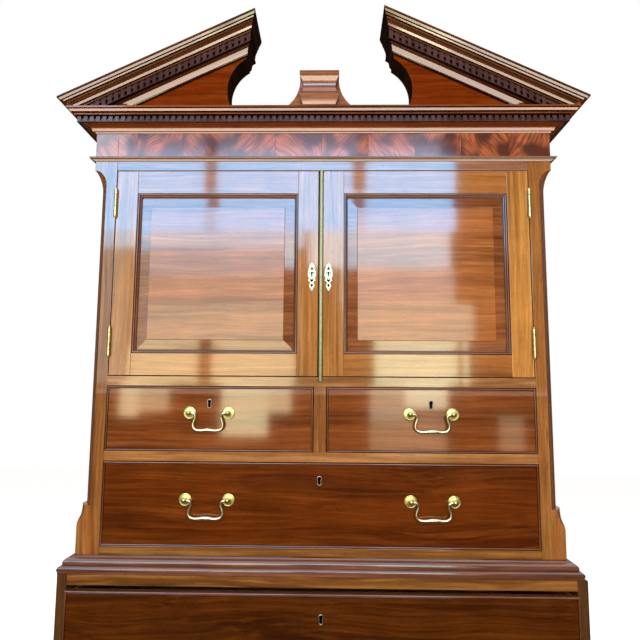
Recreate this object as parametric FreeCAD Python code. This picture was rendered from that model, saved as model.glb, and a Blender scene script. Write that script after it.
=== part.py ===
"""Linen press: a two-stage mahogany cupboard with a broken dentil pediment.

The lower stage is a chest of two deep drawers on bracket feet. The upper stage has one long
and two short drawers, and a cupboard with two panelled doors over sliding linen trays.
Millimetres. X runs to the right, Y into the case, Z up from the floor. The origin is on the
floor at the middle of the whole object's box.
"""

import FreeCAD, Part
import math
import os

from FreeCAD import Vector

os.makedirs("parts", exist_ok=True)

# ---- driving dimensions: plan --------------------------------------------------------------------
opening_half = 520.0        # half the width between the upper corner posts
post_width = 57.0           # face width of an upper corner post
chamfer_width = 31.0        # of the chamfer on the post's outer corner, across the front
chamfer_depth = 58.0        # and along the side
upper_depth = 545.0
side_board = 20.0           # upper side boards
back_board = 12.0
case_board = 20.0           # upper top, bottom and cupboard floor
dust_board = 12.0
rail_depth = 70.0           # of the rails and the corner posts
base_step = 30.0            # how far the lower stage stands out of the upper one, front and sides
base_side = 24.0
base_shift = 4.0            # the lower stage stands a little to the right of the upper one

# ---- driving dimensions: heights above the floor -------------------------------------------------
foot_height = 130.0
foot_step = 13.0            # how far the feet stand out of the lower stage
foot_thickness = 22.0
foot_block = 40.0
foot_rear = 130.0           # width of a rear foot's back board
base_rail_low = 24.0        # the lower stage's bottom rail
base_drawer_heights = (310.0, 295.0)   # clear openings, bottom drawer first
base_rail = 20.0
base_rail_top = 23.0
bottom_rail = 21.0
long_drawer_height = 197.0
drawer_rail = 23.5
short_drawer_height = 156.0
door_height = 521.4
top_rail = 23.5
frieze_height = 50.5

# ---- driving dimensions: doors, drawers, brass ---------------------------------------------------
door_thickness = 24.0
door_stile = 55.0
door_rail_top = 60.0
door_rail_bottom = 56.0
meeting_half = 57.0         # from the middle to the panels of both doors
door_gap = 2.0
door_split = -5.5           # the doors meet a little left of the middle, beside the brass strip
door_split_gap = 2.0
panel_bevel = 23.5
panel_seat = 13.0           # the panel's thin edge behind the door's face
panel_field = 6.0           # its raised field behind the door's face
strip_width = 10.8
strip_height = 4.0
strip_lap = 10.0

front_thickness = 20.0
drawer_gap = 1.5
drawer_side = 10.0
drawer_bottom = 8.0
drawer_bottom_raise = 5.0
drawer_headroom = 8.0
run_gap = 0.3               # running clearance under a drawer
guide_gap = 0.8             # running clearance beside a drawer
drawer_space = 53.0         # behind a closed drawer's box, before the back boards
bead_width = 4.0
bead_proud = 2.0
base_drawer_slack = 8.5     # above the lower stage's drawers
top_base_drawer_out = 14.0  # the lower stage's top drawer stands a little open
divider_half = 15.0

pull_spacing = 103.0        # between the posts of a handle
pull_spacing_narrow = 94.0
rosette_radius = 15.0
rosette_thickness = 3.0
post_radius = 3.0
knob_radius = 4.6
pull_reach = 15.0           # from the drawer front to the bail's pivot axis
bail_radius = 2.5
bail_swell = 4.6
bail_hook = 6.5             # bend radius of the neck
bail_belly = 12.0           # bend radius of the lower corner
bail_drop = 43.0
bail_corners = 5
bail_pin_radius = 1.5
bail_socket_radius = 1.9
pin_length = 3.0
pin_gap = 0.05              # radial, between a hinge's pin and its moving knuckles
rosette_sides = 8

hinge_height = 70.0
hinge_above = 49.5          # the lower hinges' underside above the doors' opening's foot
hinge_below = 51.9          # the upper hinges' top below the opening's head
hinge_radius = 3.9          # to the knuckle's flats
hinge_proud = 4.4           # pin axis in front of the door's face
hinge_pin = 1.6
finial_radius = 3.4
finial_height = 4.5
knuckles = 5
knuckle_gap = 0.3
leaf_clear = 0.9            # from the door's face to where a leaf leaves its knuckles
leaf_thickness = 0.8
leaf_width = 22.0

chamfer_stop_rise = 43.0    # foot of the chamfer's lower stop above the long drawer's rail
chamfer_stop_high = 40.0    # height of its upper stop

lock_half = 26.0
lock_above = 12.0           # the lock's top above the keyhole's eye
lock_thickness = 9.0
keyhole_drop_short = 37.0   # keyhole below the top of a short drawer's opening
keyhole_drop_long = 38.0
keyhole_drop_base = 58.0
keyhole_base_x = 2.0
pull_drop_short = 64.5      # handle's pivots below the top of a short drawer's opening
pull_drop_long = 89.0
pull_drop_base = 150.0      # on the lower stage's top drawer
bolt_width = 14.0
bolt_length = 110.0
bolt_thickness = 5.0
door_lock_width = 48.0
door_lock_half = 32.0
door_lock_thickness = 12.0
keyhole_eye = 2.8
keyhole_leg = 9.0
keyhole_corners = 8
escutcheon_width = 20.6
escutcheon_height = 73.0
escutcheon_thickness = 1.2
escutcheon_rise = 248.0     # its middle above the doors' opening's foot
escutcheon_left_inset = 16.4       # from the line where the doors meet
escutcheon_right_inset = 24.8
keyhole_rise = 8.0          # the keyhole's eye above the escutcheon's middle

tray_count = 4
tray_pitch = 125.0
tray_rise = 13.0            # the lowest tray above the doors' opening's foot
tray_side_height = 72.0
tray_front_height = 52.0
tray_board = 10.0
tray_bottom = 7.0
tray_start = 3.0            # behind the corner posts
bearer_depth = 12.0
bearer_ledge = 12.0

# ---- driving dimensions: cornice and pediment ----------------------------------------------------
crown_height = 16.5         # the crown's tip above the level cornice
rake_slope = 0.476
pediment_inner = 161.0      # the crown's inner ends, from the pediment's middle
pediment_shift = -6.0       # the pediment's middle sits a little left
pediment_depth = 72.0       # behind the frieze's face
return_projection = 30.0    # how far the crown returns past the tympanum's end
dentil_pitch = 15.8
dentil_width = 9.6
dentil_height = 12.5
dentil_reach = 9.0
rake_dentil_height = 22.0
rake_band = -33.0           # top of the raking dentils below the tip line
plinth_half = 50.0
plinth_reach = 30.0

# ---- driving dimensions: outlines ------------------------------------------------------------------
# (projection, height) of a moulding, and (along, height) of a foot or a swept edge; an arc is
# written (through, end)
foot_outline = [(0.0, 0.0), (88.0, 0.0), (96.0, 14.0), (89.0, 34.0), (92.0, 56.0), (104.0, 70.0),
                (122.0, 77.0), (135.0, 88.0), (140.0, 104.0), (165.0, 112.0)]
foot_profile = [(16.0, 0.0), (16.0, 8.0), ((9.5, 11.5), (6.0, 20.0))]
waist_profile = [(28.0, 0.0), (28.0, 5.0), (28.8, 8.0), (28.5, 12.0), (26.0, 15.5), (22.0, 17.0),
                 (19.0, 18.0), (19.0, 23.0), (16.0, 29.5), (12.0, 33.5), (6.0, 36.5)]
door_profile = [(0.0, 0.6), (1.2, 0.6), (1.2, 2.6), (2.4, 2.6), (2.4, 1.0), (5.0, 2.2), (7.5, 5.5),
                (7.5, 8.0), (9.0, 8.0), (9.0, 10.5), (11.0, 10.5)]
bead_profile = [(6.0, 0.0), (10.5, 2.0), (12.0, 4.5), (10.5, 7.0), (6.5, 8.0), (6.5, 11.0)]
level_profile = [(7.0, 0.0), ((11.2, 4.2), (7.0, 8.5)), (5.0, 8.5), (5.0, 11.5),
                 ((8.0, 20.0), (14.0, 24.0)), (16.0, 24.0), (19.0, 27.5), (28.0, 28.5),
                 (28.0, 43.5), (42.0, 43.5), (42.0, 48.5), (44.5, 53.0), (47.5, 55.7),
                 (52.5, 56.5), (54.5, 58.1), (58.6, 58.5), (58.6, 60.5)]
# from the crown's tip down
crown_profile = [(75.0, 0.0), (75.0, -4.0), ((71.5, -7.5), (69.0, -11.5)),
                 ((66.5, -16.0), (61.5, -18.0)), (59.0, -18.0), (59.0, -21.5)]
bed_profile = [(52.0, -21.5), (52.0, -24.5), ((50.0, -28.5), (44.0, -31.0)), (44.0, -33.0),
               (28.0, -33.0), (28.0, -57.0), (20.0, -57.0), ((14.0, -62.0), (7.0, -70.0)),
               (4.0, -70.0), (4.0, -75.0), (0.0, -78.0)]
# the pedestal's block and the half outline of the swept board behind it
plinth_profile = [(1.0, 0.0), (1.0, 22.0), (2.0, 30.0), (4.6, 38.0), (10.0, 44.0), (10.0, 48.0),
                  (5.6, 52.5), (2.4, 58.5), (1.0, 66.0), (1.0, 74.0), (2.4, 83.0), (5.2, 89.5),
                  (8.5, 93.0), (8.5, 97.0), (10.0, 97.0), (10.0, 107.0)]
plinth_sweep = [(45.0, 0.0), (45.0, 18.0), ((9.0, 56.0), (0.0, 91.0)), (0.0, 107.0)]
tympanum_end = [(24.0, 0.0), ((43.0, 39.0), (47.0, 78.0)), ((35.0, 119.0), (0.0, 156.0))]
# (share of the chamfer's width, height) up the corner posts' lower stop, from its foot
chamfer_stop = [(0.0, 0.0), (0.04, 8.0), (0.27, 18.0), (0.44, 25.0), (0.53, 39.0), (0.57, 50.0),
                (1.0, 50.0)]

# ---- places that follow from them ----------------------------------------------------------------
waist_height = waist_profile[-1][1]
bead_height = bead_profile[-1][1]
level_cornice = level_profile[-1][1]
panel_moulding = door_profile[-1][0]
crown_projection = crown_profile[0][0]
dentil_plane = bed_profile[4][0]               # projection of the face that the dentils stand on
plinth_height = plinth_sweep[-1][1]

upper_half = opening_half + post_width
base_half = upper_half + base_step
cornice_half = upper_half + crown_projection
depth_total = upper_depth + crown_projection
face = crown_projection - depth_total / 2      # the upper stage's front plane
back = depth_total / 2
base_face = face - base_step
upper_drawer_depth = upper_depth - back_board - drawer_space
base_drawer_depth = upper_drawer_depth + base_step
pull_offset = (opening_half + divider_half) / 2    # handles in line with the short drawers' middles

base_bottom = foot_height + foot_profile[-1][1][1]
base_rails = [(base_bottom, base_bottom + base_rail_low)]
base_openings = []
for clear in base_drawer_heights:
    floor_level = base_rails[-1][1]
    base_openings.append((floor_level, floor_level + clear))
    base_rails.append((floor_level + clear, floor_level + clear + base_rail))
base_rails[-1] = (base_openings[-1][1], base_openings[-1][1] + base_rail_top)
base_top = base_rails[-1][1]

case_bottom = base_top + waist_height
long_low = case_bottom + bottom_rail
long_high = long_low + long_drawer_height
short_low = long_high + drawer_rail
short_high = short_low + short_drawer_height
door_low = short_high + drawer_rail
door_high = door_low + door_height
hinge_lower = door_low + hinge_above
hinge_upper = door_high - hinge_below - hinge_height
escutcheon_z = door_low + escutcheon_rise
escutcheon_left = door_split - escutcheon_left_inset
escutcheon_right = door_split + escutcheon_right_inset
bead_low = door_high + top_rail
frieze_low = bead_low + bead_height
frieze_high = frieze_low + frieze_height
level_top = frieze_high + level_cornice
crown_tip = level_top + crown_height


# ---- helpers -------------------------------------------------------------------------------------
def block(x0, x1, y0, y1, z0, z1):
    """A board between two corners."""
    return Part.makeBox(x1 - x0, y1 - y0, z1 - z0, Vector(x0, y0, z0))


def outline(points, place):
    """A closed face. A point is (u, v), or ((u, v), (u, v)) for an arc through the first."""
    edges = []
    start = here = place(*points[0])
    for point in points[1:]:
        if isinstance(point[0], tuple):
            through, end = place(*point[0]), place(*point[1])
            edges.append(Part.Arc(here, through, end).toShape())
        else:
            end = place(*point)
            edges.append(Part.makeLine(here, end))
        here = end
    if here.distanceToPoint(start) > 1e-6:
        edges.append(Part.makeLine(here, start))
    return Part.Face(Part.Wire(edges))


def plan_prism(points, z0, z1):
    """An upright prism on a plan of (x, y) points."""
    face_down = outline(points, lambda x, y: Vector(x, y, z0))
    return face_down.extrude(Vector(0, 0, z1 - z0))


def mirrored(shape):
    return shape.mirror(Vector(0, 0, 0), Vector(1, 0, 0))


def both(shapes):
    """The given left-hand solids and their mirror images."""
    return list(shapes) + [mirrored(shape) for shape in shapes]


def mitred_run(profile, half, front, rear, sides_only=False):
    """A moulding round the front and two sides, mitred at the front corners.

    The profile's points are (projection, height); half and front are the planes it is fixed to.
    """
    reach = 200.0
    left_prism = plan_prism([(-half, front), (-half - reach, front - reach),
                             (-half - reach, rear), (-half, rear)], -reach, 3000.0)
    side = outline(profile, lambda p, z: Vector(-half - p, front - reach, z))
    left = side.extrude(Vector(0, rear - front + reach, 0)).common(left_prism)
    solids = [left, mirrored(left)]
    if not sides_only:
        front_prism = plan_prism([(-half, front), (-half - reach, front - reach),
                                  (half + reach, front - reach), (half, front)], -reach, 3000.0)
        run = outline(profile, lambda p, z: Vector(-half - reach, front - p, z))
        solids.append(run.extrude(Vector(2 * half + 2 * reach, 0, 0)).common(front_prism))
    return solids


def skin(rings):
    """A solid with flat facets through rings of as many points each, closed at both ends."""
    faces = [Part.Face(Part.makePolygon(ring + ring[:1])) for ring in (rings[0], rings[-1])]
    count = len(rings[0])
    for one, two in zip(rings, rings[1:]):
        for k in range(count):
            a, b, c, d = one[k], one[(k + 1) % count], two[(k + 1) % count], two[k]
            if abs((b - a).cross(d - a).normalize().dot(c - a)) < 1e-7:
                faces.append(Part.Face(Part.makePolygon([a, b, c, d, a])))
            else:
                faces += [Part.Face(Part.makePolygon([a, b, c, a])),
                          Part.Face(Part.makePolygon([a, c, d, a]))]
    solid = Part.Solid(Part.Shell(faces))
    if solid.Volume < 0:
        solid.reverse()
    return solid


def rod(points, radii, corners):
    """A bar of many-sided section along points (x, z) in the plane y = 0, mitred at each turn."""
    rings = []
    last = len(points) - 1
    for i, (x, z) in enumerate(points):
        before = points[max(i - 1, 0)]
        after = points[min(i + 1, last)]
        into = math.atan2(z - before[1], x - before[0]) if i else None
        out = math.atan2(after[1] - z, after[0] - x) if i < last else into
        into = out if into is None else into
        half_turn = math.remainder(out - into, 2 * math.pi) / 2
        heading = into + half_turn
        across = Vector(-math.sin(heading), 0, math.cos(heading)) * (1 / math.cos(half_turn))
        rings.append([Vector(x, 0, z) + across * (radii[i] * math.cos(angle))
                      + Vector(0, radii[i] * math.sin(angle), 0)
                      for angle in (2 * math.pi * (k + 0.5) / corners for k in range(corners))])
    return skin(rings)


def turned(profile, centre, sides):
    """A many-sided turning about the Y axis through centre, from (radius, reach) points."""
    rings = []
    for radius, reach in profile:
        rings.append([centre + Vector(radius * math.cos(angle), -reach, radius * math.sin(angle))
                      for angle in (2 * math.pi * k / sides for k in range(sides))])
    return skin(rings)


def polygon_bar(radius, sides, start, end):
    """A straight bar along X of many-sided section."""
    rings = [[Vector(x, start.y + radius * math.cos(angle), start.z + radius * math.sin(angle))
              for angle in (2 * math.pi * (k + 0.5) / sides for k in range(sides))]
             for x in (start.x, end.x)]
    return skin(rings)


def upright(centre, flat_radius, sides, *stations):
    """An upright many-sided turning, from (height, share of the radius) stations."""
    corner = flat_radius / math.cos(math.pi / sides)
    rings = []
    for z, share in stations:
        rings.append([Vector(centre.x + share * corner * math.cos(angle),
                             centre.y + share * corner * math.sin(angle), z)
                      for angle in (2 * math.pi * (k + 0.5) / sides for k in range(sides))])
    return skin(rings)


def keyhole_cutter(centre, depth):
    """The eye and narrow leg of a keyhole, cut along Y from the front face."""
    foot = keyhole_leg
    points = []
    for k in range(keyhole_corners):
        angle = math.radians(-90.0 + 360.0 * (k + 0.5) / keyhole_corners)
        points.append((keyhole_eye * math.cos(angle), keyhole_eye * math.sin(angle)))
    points += [(-keyhole_eye * 0.45, -foot), (keyhole_eye * 0.45, -foot)]
    hole = outline(points, lambda u, v: Vector(centre.x + u, centre.y, centre.z + v))
    return hole.extrude(Vector(0, depth, 0))


def moved(points, right, up, flip=1):
    """An outline's points shifted, and turned left to right where flip is -1."""
    def shift(point):
        if isinstance(point[0], tuple):
            return tuple(shift(end) for end in point)
        return (right + flip * point[0], up + point[1])
    return [shift(point) for point in points]


def export(node, solids, right=0.0):
    shape = Part.makeCompound(solids) if len(solids) > 1 else solids[0]
    shape.translate(Vector(right, 0, 0))
    shape.exportStep(f"parts/{node}.step")


# ---- lower stage: case ---------------------------------------------------------------------------
def lower_case():
    inner = base_half - base_side
    panel_front = base_face + rail_depth
    side = block(-base_half, -inner, base_face, back, base_bottom, base_top)
    side = side.cut(block(-inner - 10, -inner, back - back_board, back, base_bottom, base_top))
    export("base_sides", both([side]), base_shift)
    floor_board = block(-inner, inner, panel_front, back - back_board,
                        base_rails[0][0], base_rails[0][1])
    top = block(-inner, inner, panel_front, back - back_board, base_rails[-1][0], base_top)
    boards = 4
    height = (base_top - base_bottom) / boards
    export("base_back_boards", [
        block(-inner - 10, inner + 10, back - back_board, back,
              base_bottom + i * height, base_bottom + (i + 1) * height)
        for i in range(boards)], base_shift)
    export("base_front_rails", [
        block(-inner, inner, base_face, panel_front, low, high)
        for low, high in base_rails], base_shift)
    runner_width = 34.0
    solids = [floor_board, top]
    for low, high in base_rails[1:-1]:
        solids += both([block(-inner, -inner + runner_width, panel_front, back - back_board,
                              low, high)])
        solids.append(block(-inner + runner_width, inner - runner_width, panel_front,
                            back - back_board, high - dust_board, high - 2.0))
    export("base_boards", solids, base_shift)


# ---- lower stage: foot moulding and bracket feet -------------------------------------------------
def feet():
    low = foot_height
    moulding = [(-base_side, low)] + moved(foot_profile, 0, low) + [(-base_side, base_bottom)]
    export("base_moulding", mitred_run(moulding, base_half, base_face, back), base_shift)
    outer = base_half + foot_step
    front = base_face - foot_step
    length = foot_outline[-1][0]
    thick = foot_thickness

    def bracket(place):
        return outline(foot_outline + [(length, low), (0, low)], place)

    front_face = bracket(lambda u, v: Vector(-outer + u, front, v))
    front_foot = front_face.extrude(Vector(0, thick, 0))
    side_face = bracket(lambda u, v: Vector(-outer, front + u, v))
    side_foot = side_face.extrude(Vector(thick, 0, 0))
    mitre = plan_prism([(-outer, front), (-outer + thick, front + thick),
                        (-outer + length, front + thick), (-outer + length, front)], 0, low)
    side_mitre = plan_prism([(-outer, front), (-outer + thick, front + thick),
                             (-outer + thick, front + length), (-outer, front + length)], 0, low)
    rear_face = bracket(lambda u, v: Vector(-outer, back - u, v))
    rear_side = rear_face.extrude(Vector(thick, 0, 0))
    rear_back = block(-outer + thick, -outer + foot_rear, back - thick, back, 0, low)
    block_right = -outer + thick + foot_block
    front_block = block(-outer + thick, block_right, front + thick, front + thick + foot_block,
                        4.0, low)
    rear_block = block(-outer + thick, block_right, back - thick - foot_block, back - thick,
                       4.0, low)
    export("bracket_feet", both([front_foot.common(mitre), side_foot.common(side_mitre),
                                 rear_side, rear_back, front_block, rear_block]), base_shift)


# ---- waist moulding between the stages -----------------------------------------------------------
def waist():
    profile = [(0.0, base_top)] + moved(waist_profile, 0, base_top) + [(0.0, case_bottom)]
    export("waist_moulding", mitred_run(profile, upper_half, face, back))


# ---- upper stage: case ---------------------------------------------------------------------------
def corner_post():
    """A post with its front corner chamfered between a lamb's tongue stop and a hollow one."""
    post = block(-upper_half, -opening_half, face, face + rail_depth, base_top, frieze_low)
    low = long_low + chamfer_stop_rise
    high = door_high
    edge = moved(chamfer_stop, 0, low) + [
        (1.0, high - chamfer_stop_high), ((0.74, high - 0.3 * chamfer_stop_high), (0.0, high)),
        (-0.3, high), (-0.3, low)]
    along = Vector(chamfer_width, -chamfer_depth, 0)
    inward = Vector(chamfer_depth, chamfer_width, 0)
    inward = inward * (chamfer_width * chamfer_depth / inward.dot(inward))
    corner = Vector(-upper_half, face, 0) - along

    def place(share, z):
        return corner + inward * share + Vector(0, 0, z)

    return post.cut(outline(edge, place).extrude(along * 2))


def upper_case():
    inner = upper_half - side_board
    panel_front = face + rail_depth
    rear = back - back_board
    export("corner_posts", both([corner_post()]))
    side = block(-upper_half, -inner, face + rail_depth, back, base_top, frieze_high)
    side = side.cut(block(-inner - 8, -inner, rear, back, base_top, frieze_high))
    export("press_sides", both([side]))
    export("press_boards", [
        block(-inner, inner, panel_front, rear, case_bottom, long_low),
        block(-inner, inner, panel_front, rear, short_low - dust_board, short_low),
        block(-inner, inner, panel_front, rear, door_low - case_board, door_low),
        block(-inner, inner, panel_front, rear, door_high, door_high + case_board)])
    boards = 6
    width = 2 * (inner + 8) / boards
    export("press_back_boards", [
        block(-inner - 8 + i * width, -inner - 8 + (i + 1) * width, rear, back,
              base_top, frieze_high) for i in range(boards)])
    rails = [(base_top, long_low), (long_high, short_low), (short_high, door_low),
             (door_high, frieze_low)]
    solids = [block(-opening_half, opening_half, face, panel_front, low, high)
              for low, high in rails]
    solids.append(block(-divider_half, divider_half, face, panel_front, short_low, short_high))
    export("press_front_rails", solids)
    guide_height = 22.0
    solids = []
    for low in (long_low, short_low):
        solids += both([block(-inner, -opening_half, panel_front, rear, low,
                              low + guide_height)])
    solids.append(block(-divider_half, divider_half, panel_front, rear, short_low,
                        short_low + guide_height))
    return solids


def cornice_frame():
    inner = upper_half - side_board
    rails = block(-upper_half, upper_half, face, face + case_board, frieze_high, level_top)
    rear_rail = block(-inner, inner, back - case_board, back, frieze_high, level_top - dust_board)
    side_rail = block(-upper_half, -inner, face + case_board, back, frieze_high, level_top)
    dust = block(-inner, inner, face + case_board, back, level_top - dust_board, level_top)
    export("cornice_frame", [rails, rear_rail, dust] + both([side_rail]))


# ---- linen trays ---------------------------------------------------------------------------------
def trays():
    inner = upper_half - side_board
    start = face + rail_depth + tray_start
    rear = back - back_board
    bearers = []
    half = opening_half - 3.0
    for i in range(tray_count):
        z = door_low + tray_rise + i * tray_pitch
        bearers += both([
            block(-inner, -half - guide_gap, start, rear, z - bearer_depth, z + 24.0),
            block(-half - guide_gap, -half + bearer_ledge, start, rear, z - bearer_depth, z)])
        end = rear - 8.0
        side = block(-half, -half + tray_board, start, end, z + run_gap, z + tray_side_height)
        rear_board = block(-half + tray_board, half - tray_board, end - tray_board, end,
                           z + run_gap + tray_bottom, z + tray_side_height)
        dip = outline([(-half + tray_board, z + run_gap), (half - tray_board, z + run_gap),
                       (half - tray_board, z + tray_side_height),
                       (half - 60.0, z + tray_side_height),
                       ((half - 75.0, z + tray_front_height + 5.0),
                        (half - 105.0, z + tray_front_height)),
                       (-half + 105.0, z + tray_front_height),
                       ((-half + 75.0, z + tray_front_height + 5.0),
                        (-half + 60.0, z + tray_side_height)),
                       (-half + tray_board, z + tray_side_height)],
                      lambda x, height: Vector(x, start, height))
        front_board = dip.extrude(Vector(0, tray_board + 2.0, 0))
        bottom = block(-half + tray_board, half - tray_board, start + tray_board + 2.0, end,
                       z + run_gap, z + run_gap + tray_bottom)
        export(f"linen_tray_{i + 1}", both([side]) + [front_board, rear_board, bottom])
    return bearers


# ---- doors ---------------------------------------------------------------------------------------
def door(name, left, right, panel_left, panel_right, key_x):
    low = door_low + door_gap
    high = door_high - door_gap
    panel_low = door_low + door_rail_bottom
    panel_high = door_high - door_rail_top
    depth = face + door_thickness
    solids = [block(left, panel_left, face, depth, low, high),
              block(panel_right, right, face, depth, low, high),
              block(panel_left, panel_right, face, depth, panel_high, high),
              block(panel_left, panel_right, face, depth, low, panel_low)]
    keyhole = keyhole_cutter(Vector(key_x, face, escutcheon_z + keyhole_rise), door_thickness)
    solids = [solid.cut(keyhole) for solid in solids[:2]] + solids[2:]
    # the moulding inside the frame, mitred at its corners, holds the panel's edge
    section = door_profile + [(panel_moulding, panel_seat), (0.0, panel_seat)]
    middle_x = (panel_left + panel_right) / 2
    middle_z = (panel_low + panel_high) / 2
    half_x = (panel_right - panel_left) / 2
    half_z = (panel_high - panel_low) / 2
    for turn in range(4):
        span, other = (half_z, half_x) if turn % 2 else (half_x, half_z)
        run = outline(section, lambda inward, deep: Vector(-span, face + deep, -other + inward))
        run = run.extrude(Vector(2 * span, 0, 0))
        wedge = outline([(-span, -other), (span, -other), (span - 60.0, -other + 60.0),
                         (-span + 60.0, -other + 60.0)], lambda x, z: Vector(x, face - 1, z))
        run = run.common(wedge.extrude(Vector(0, 20.0, 0)))
        run.rotate(Vector(0, 0, 0), Vector(0, 1, 0), 90.0 * turn)
        run.translate(Vector(middle_x, 0, middle_z))
        solids.append(run)
    export(f"{name}_frame", solids)

    edge = face + panel_seat
    field = face + panel_field
    outer = [panel_left, panel_right, panel_low, panel_high]
    grow = (1, -1, 1, -1)
    bevel = [v + s * panel_moulding for v, s in zip(outer, grow)]
    plate = [v + s * (panel_moulding + panel_bevel) for v, s in zip(outer, grow)]

    def ring(frame, y):
        x0, x1, z0, z1 = frame
        corners = [Vector(x0, y, z0), Vector(x1, y, z0), Vector(x1, y, z1), Vector(x0, y, z1)]
        return Part.makePolygon(corners + corners[:1])

    slope = Part.makeLoft([ring(bevel, edge), ring(plate, field + 1.0)], True, True)
    slab = block(outer[0] + 2, outer[1] - 2, edge, face + 19.0, outer[2] + 2, outer[3] - 2)
    raised = block(plate[0], plate[1], field, field + 1.0, plate[2], plate[3])
    tongue = [block(outer[0], outer[0] + 2, edge, edge + 6, outer[2], outer[3]),
              block(outer[1] - 2, outer[1], edge, edge + 6, outer[2], outer[3]),
              block(outer[0] + 2, outer[1] - 2, edge, edge + 6, outer[2], outer[2] + 2),
              block(outer[0] + 2, outer[1] - 2, edge, edge + 6, outer[3] - 2, outer[3])]
    panel = slope.fuse([slab, raised] + tongue).removeSplitter()
    export(f"{name}_panel", [panel])


def butt_hinge(low, side):
    """A butt hinge on the left (side -1) or right (side 1): its fixed and its moving solids."""
    axis = Vector(side * (opening_half - door_gap / 2), face - hinge_proud, 0)
    step = hinge_height / knuckles
    leaf_x = (side * opening_half, side * (opening_half - door_gap))
    toward = (-side, side)
    pieces = ([], [])
    for part in (0, 1):
        x0, x1 = sorted((leaf_x[part], leaf_x[part] + toward[part] * leaf_thickness))
        leaf = block(x0, x1, face + leaf_clear, face + leaf_width, low, low + hinge_height)
        tabs = [block(x0, x1, axis.y + hinge_radius, face + leaf_clear,
                      low + i * step + knuckle_gap, low + (i + 1) * step - knuckle_gap)
                for i in range(part, knuckles, 2)]
        pieces[part].append(leaf.fuse(tabs).removeSplitter())
    for i in range(knuckles):
        z0 = low + i * step
        z1 = z0 + step
        if i % 2:
            ring = upright(axis, hinge_radius, 8, (z0 + knuckle_gap, 1), (z1 - knuckle_gap, 1))
            bore = upright(axis, hinge_pin + pin_gap, 8, (z0, 1), (z1, 1))
            pieces[1].append(ring.cut(bore))
            pin = math.cos(math.pi / 8)
            pieces[0].append(upright(axis, hinge_pin, 8, (z0, pin), (z1, pin)))
        else:
            pieces[0].append(upright(axis, hinge_radius, 8, (z0, 1), (z1, 1)))
    for end, way in ((low, -1), (low + hinge_height, 1)):
        stations = [(end, 1), (end + way * finial_height, 0.4)]
        pieces[0].append(upright(axis, finial_radius, 8, *stations))
    return pieces


def escutcheon(x):
    """A pierced plate with pointed ends, on the door's face."""
    width = escutcheon_width / 2
    tall = escutcheon_height / 2
    corner = [(2.2, tall - 4.0), (5.6, tall - 5.5), (4.6, tall - 10.5), (8.6, tall - 11.0),
              (8.0, tall - 16.0), (width, tall - 20.0), (width - 2.4, tall - 24.0)]
    top = [(0.0, tall)] + corner
    right = top + [(u, -v) for u, v in reversed(corner)] + [(0.0, -tall)]
    around = right + [(-u, v) for u, v in reversed(right[1:-1])]

    def plane(reach):
        return lambda u, v: Vector(x + u, face - reach, escutcheon_z + v)

    plate = outline(around, plane(escutcheon_thickness))
    plate = plate.extrude(Vector(0, escutcheon_thickness, 0))
    heart = [(0.0, -13.0), (3.4, -9.0), (2.8, -6.0), (0.0, -7.6), (-2.8, -6.0), (-3.4, -9.0)]
    peak = [(-2.6, 19.0), (2.6, 19.0), (0.0, 24.5)]
    drop = [(0.0, -18.0), (2.6, -24.5), (0.0, -27.0), (-2.6, -24.5)]
    holes = [outline(points, plane(5.0)).extrude(Vector(0, 10.0, 0))
             for points in (heart, peak, drop)]
    keyhole = keyhole_cutter(Vector(x, face - 5.0, escutcheon_z + keyhole_rise), 10.0)
    return plate.cut(holes + [keyhole])


def doors():
    left = -opening_half + door_gap
    meet_left = door_split - door_split_gap / 2
    meet_right = door_split + door_split_gap / 2
    panel_outer = opening_half - door_stile
    door("door_left", left, meet_left, -panel_outer, -meeting_half, escutcheon_left)
    door("door_right", meet_right, -left, meeting_half, panel_outer, escutcheon_right)
    strip = outline([(meet_right, 0.0), ((meet_right + strip_width / 2, strip_height),
                                         (meet_right + strip_width, 0.0))],
                    lambda x, reach: Vector(x, face - reach, door_low - strip_lap))
    strip = strip.extrude(Vector(0, 0, door_height + strip_lap - door_gap))
    export("door_right_strip", [strip])
    fixed = []
    behind = face + door_thickness
    bolt_x = meet_left - 8.0
    lock_x = meet_right + 3.0
    bolt_lows = (door_low + door_gap, door_high - door_gap - bolt_length)
    export("door_left_escutcheon", [escutcheon(escutcheon_left)])
    export("door_right_escutcheon", [escutcheon(escutcheon_right)])
    export("door_left_bolts", [
        block(bolt_x - bolt_width, bolt_x, behind, behind + bolt_thickness, low,
              low + bolt_length) for low in bolt_lows])
    export("door_right_lock", [
        block(lock_x, lock_x + door_lock_width, behind, behind + door_lock_thickness,
              escutcheon_z - door_lock_half, escutcheon_z + door_lock_half)])
    for side, name in ((-1, "door_left"), (1, "door_right")):
        moving = []
        for low in (hinge_lower, hinge_upper):
            still, swinging = butt_hinge(low, side)
            fixed += still
            moving += swinging
        export(f"{name}_hinge_leaves", moving)
    export("hinge_fixed_halves", fixed)


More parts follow.
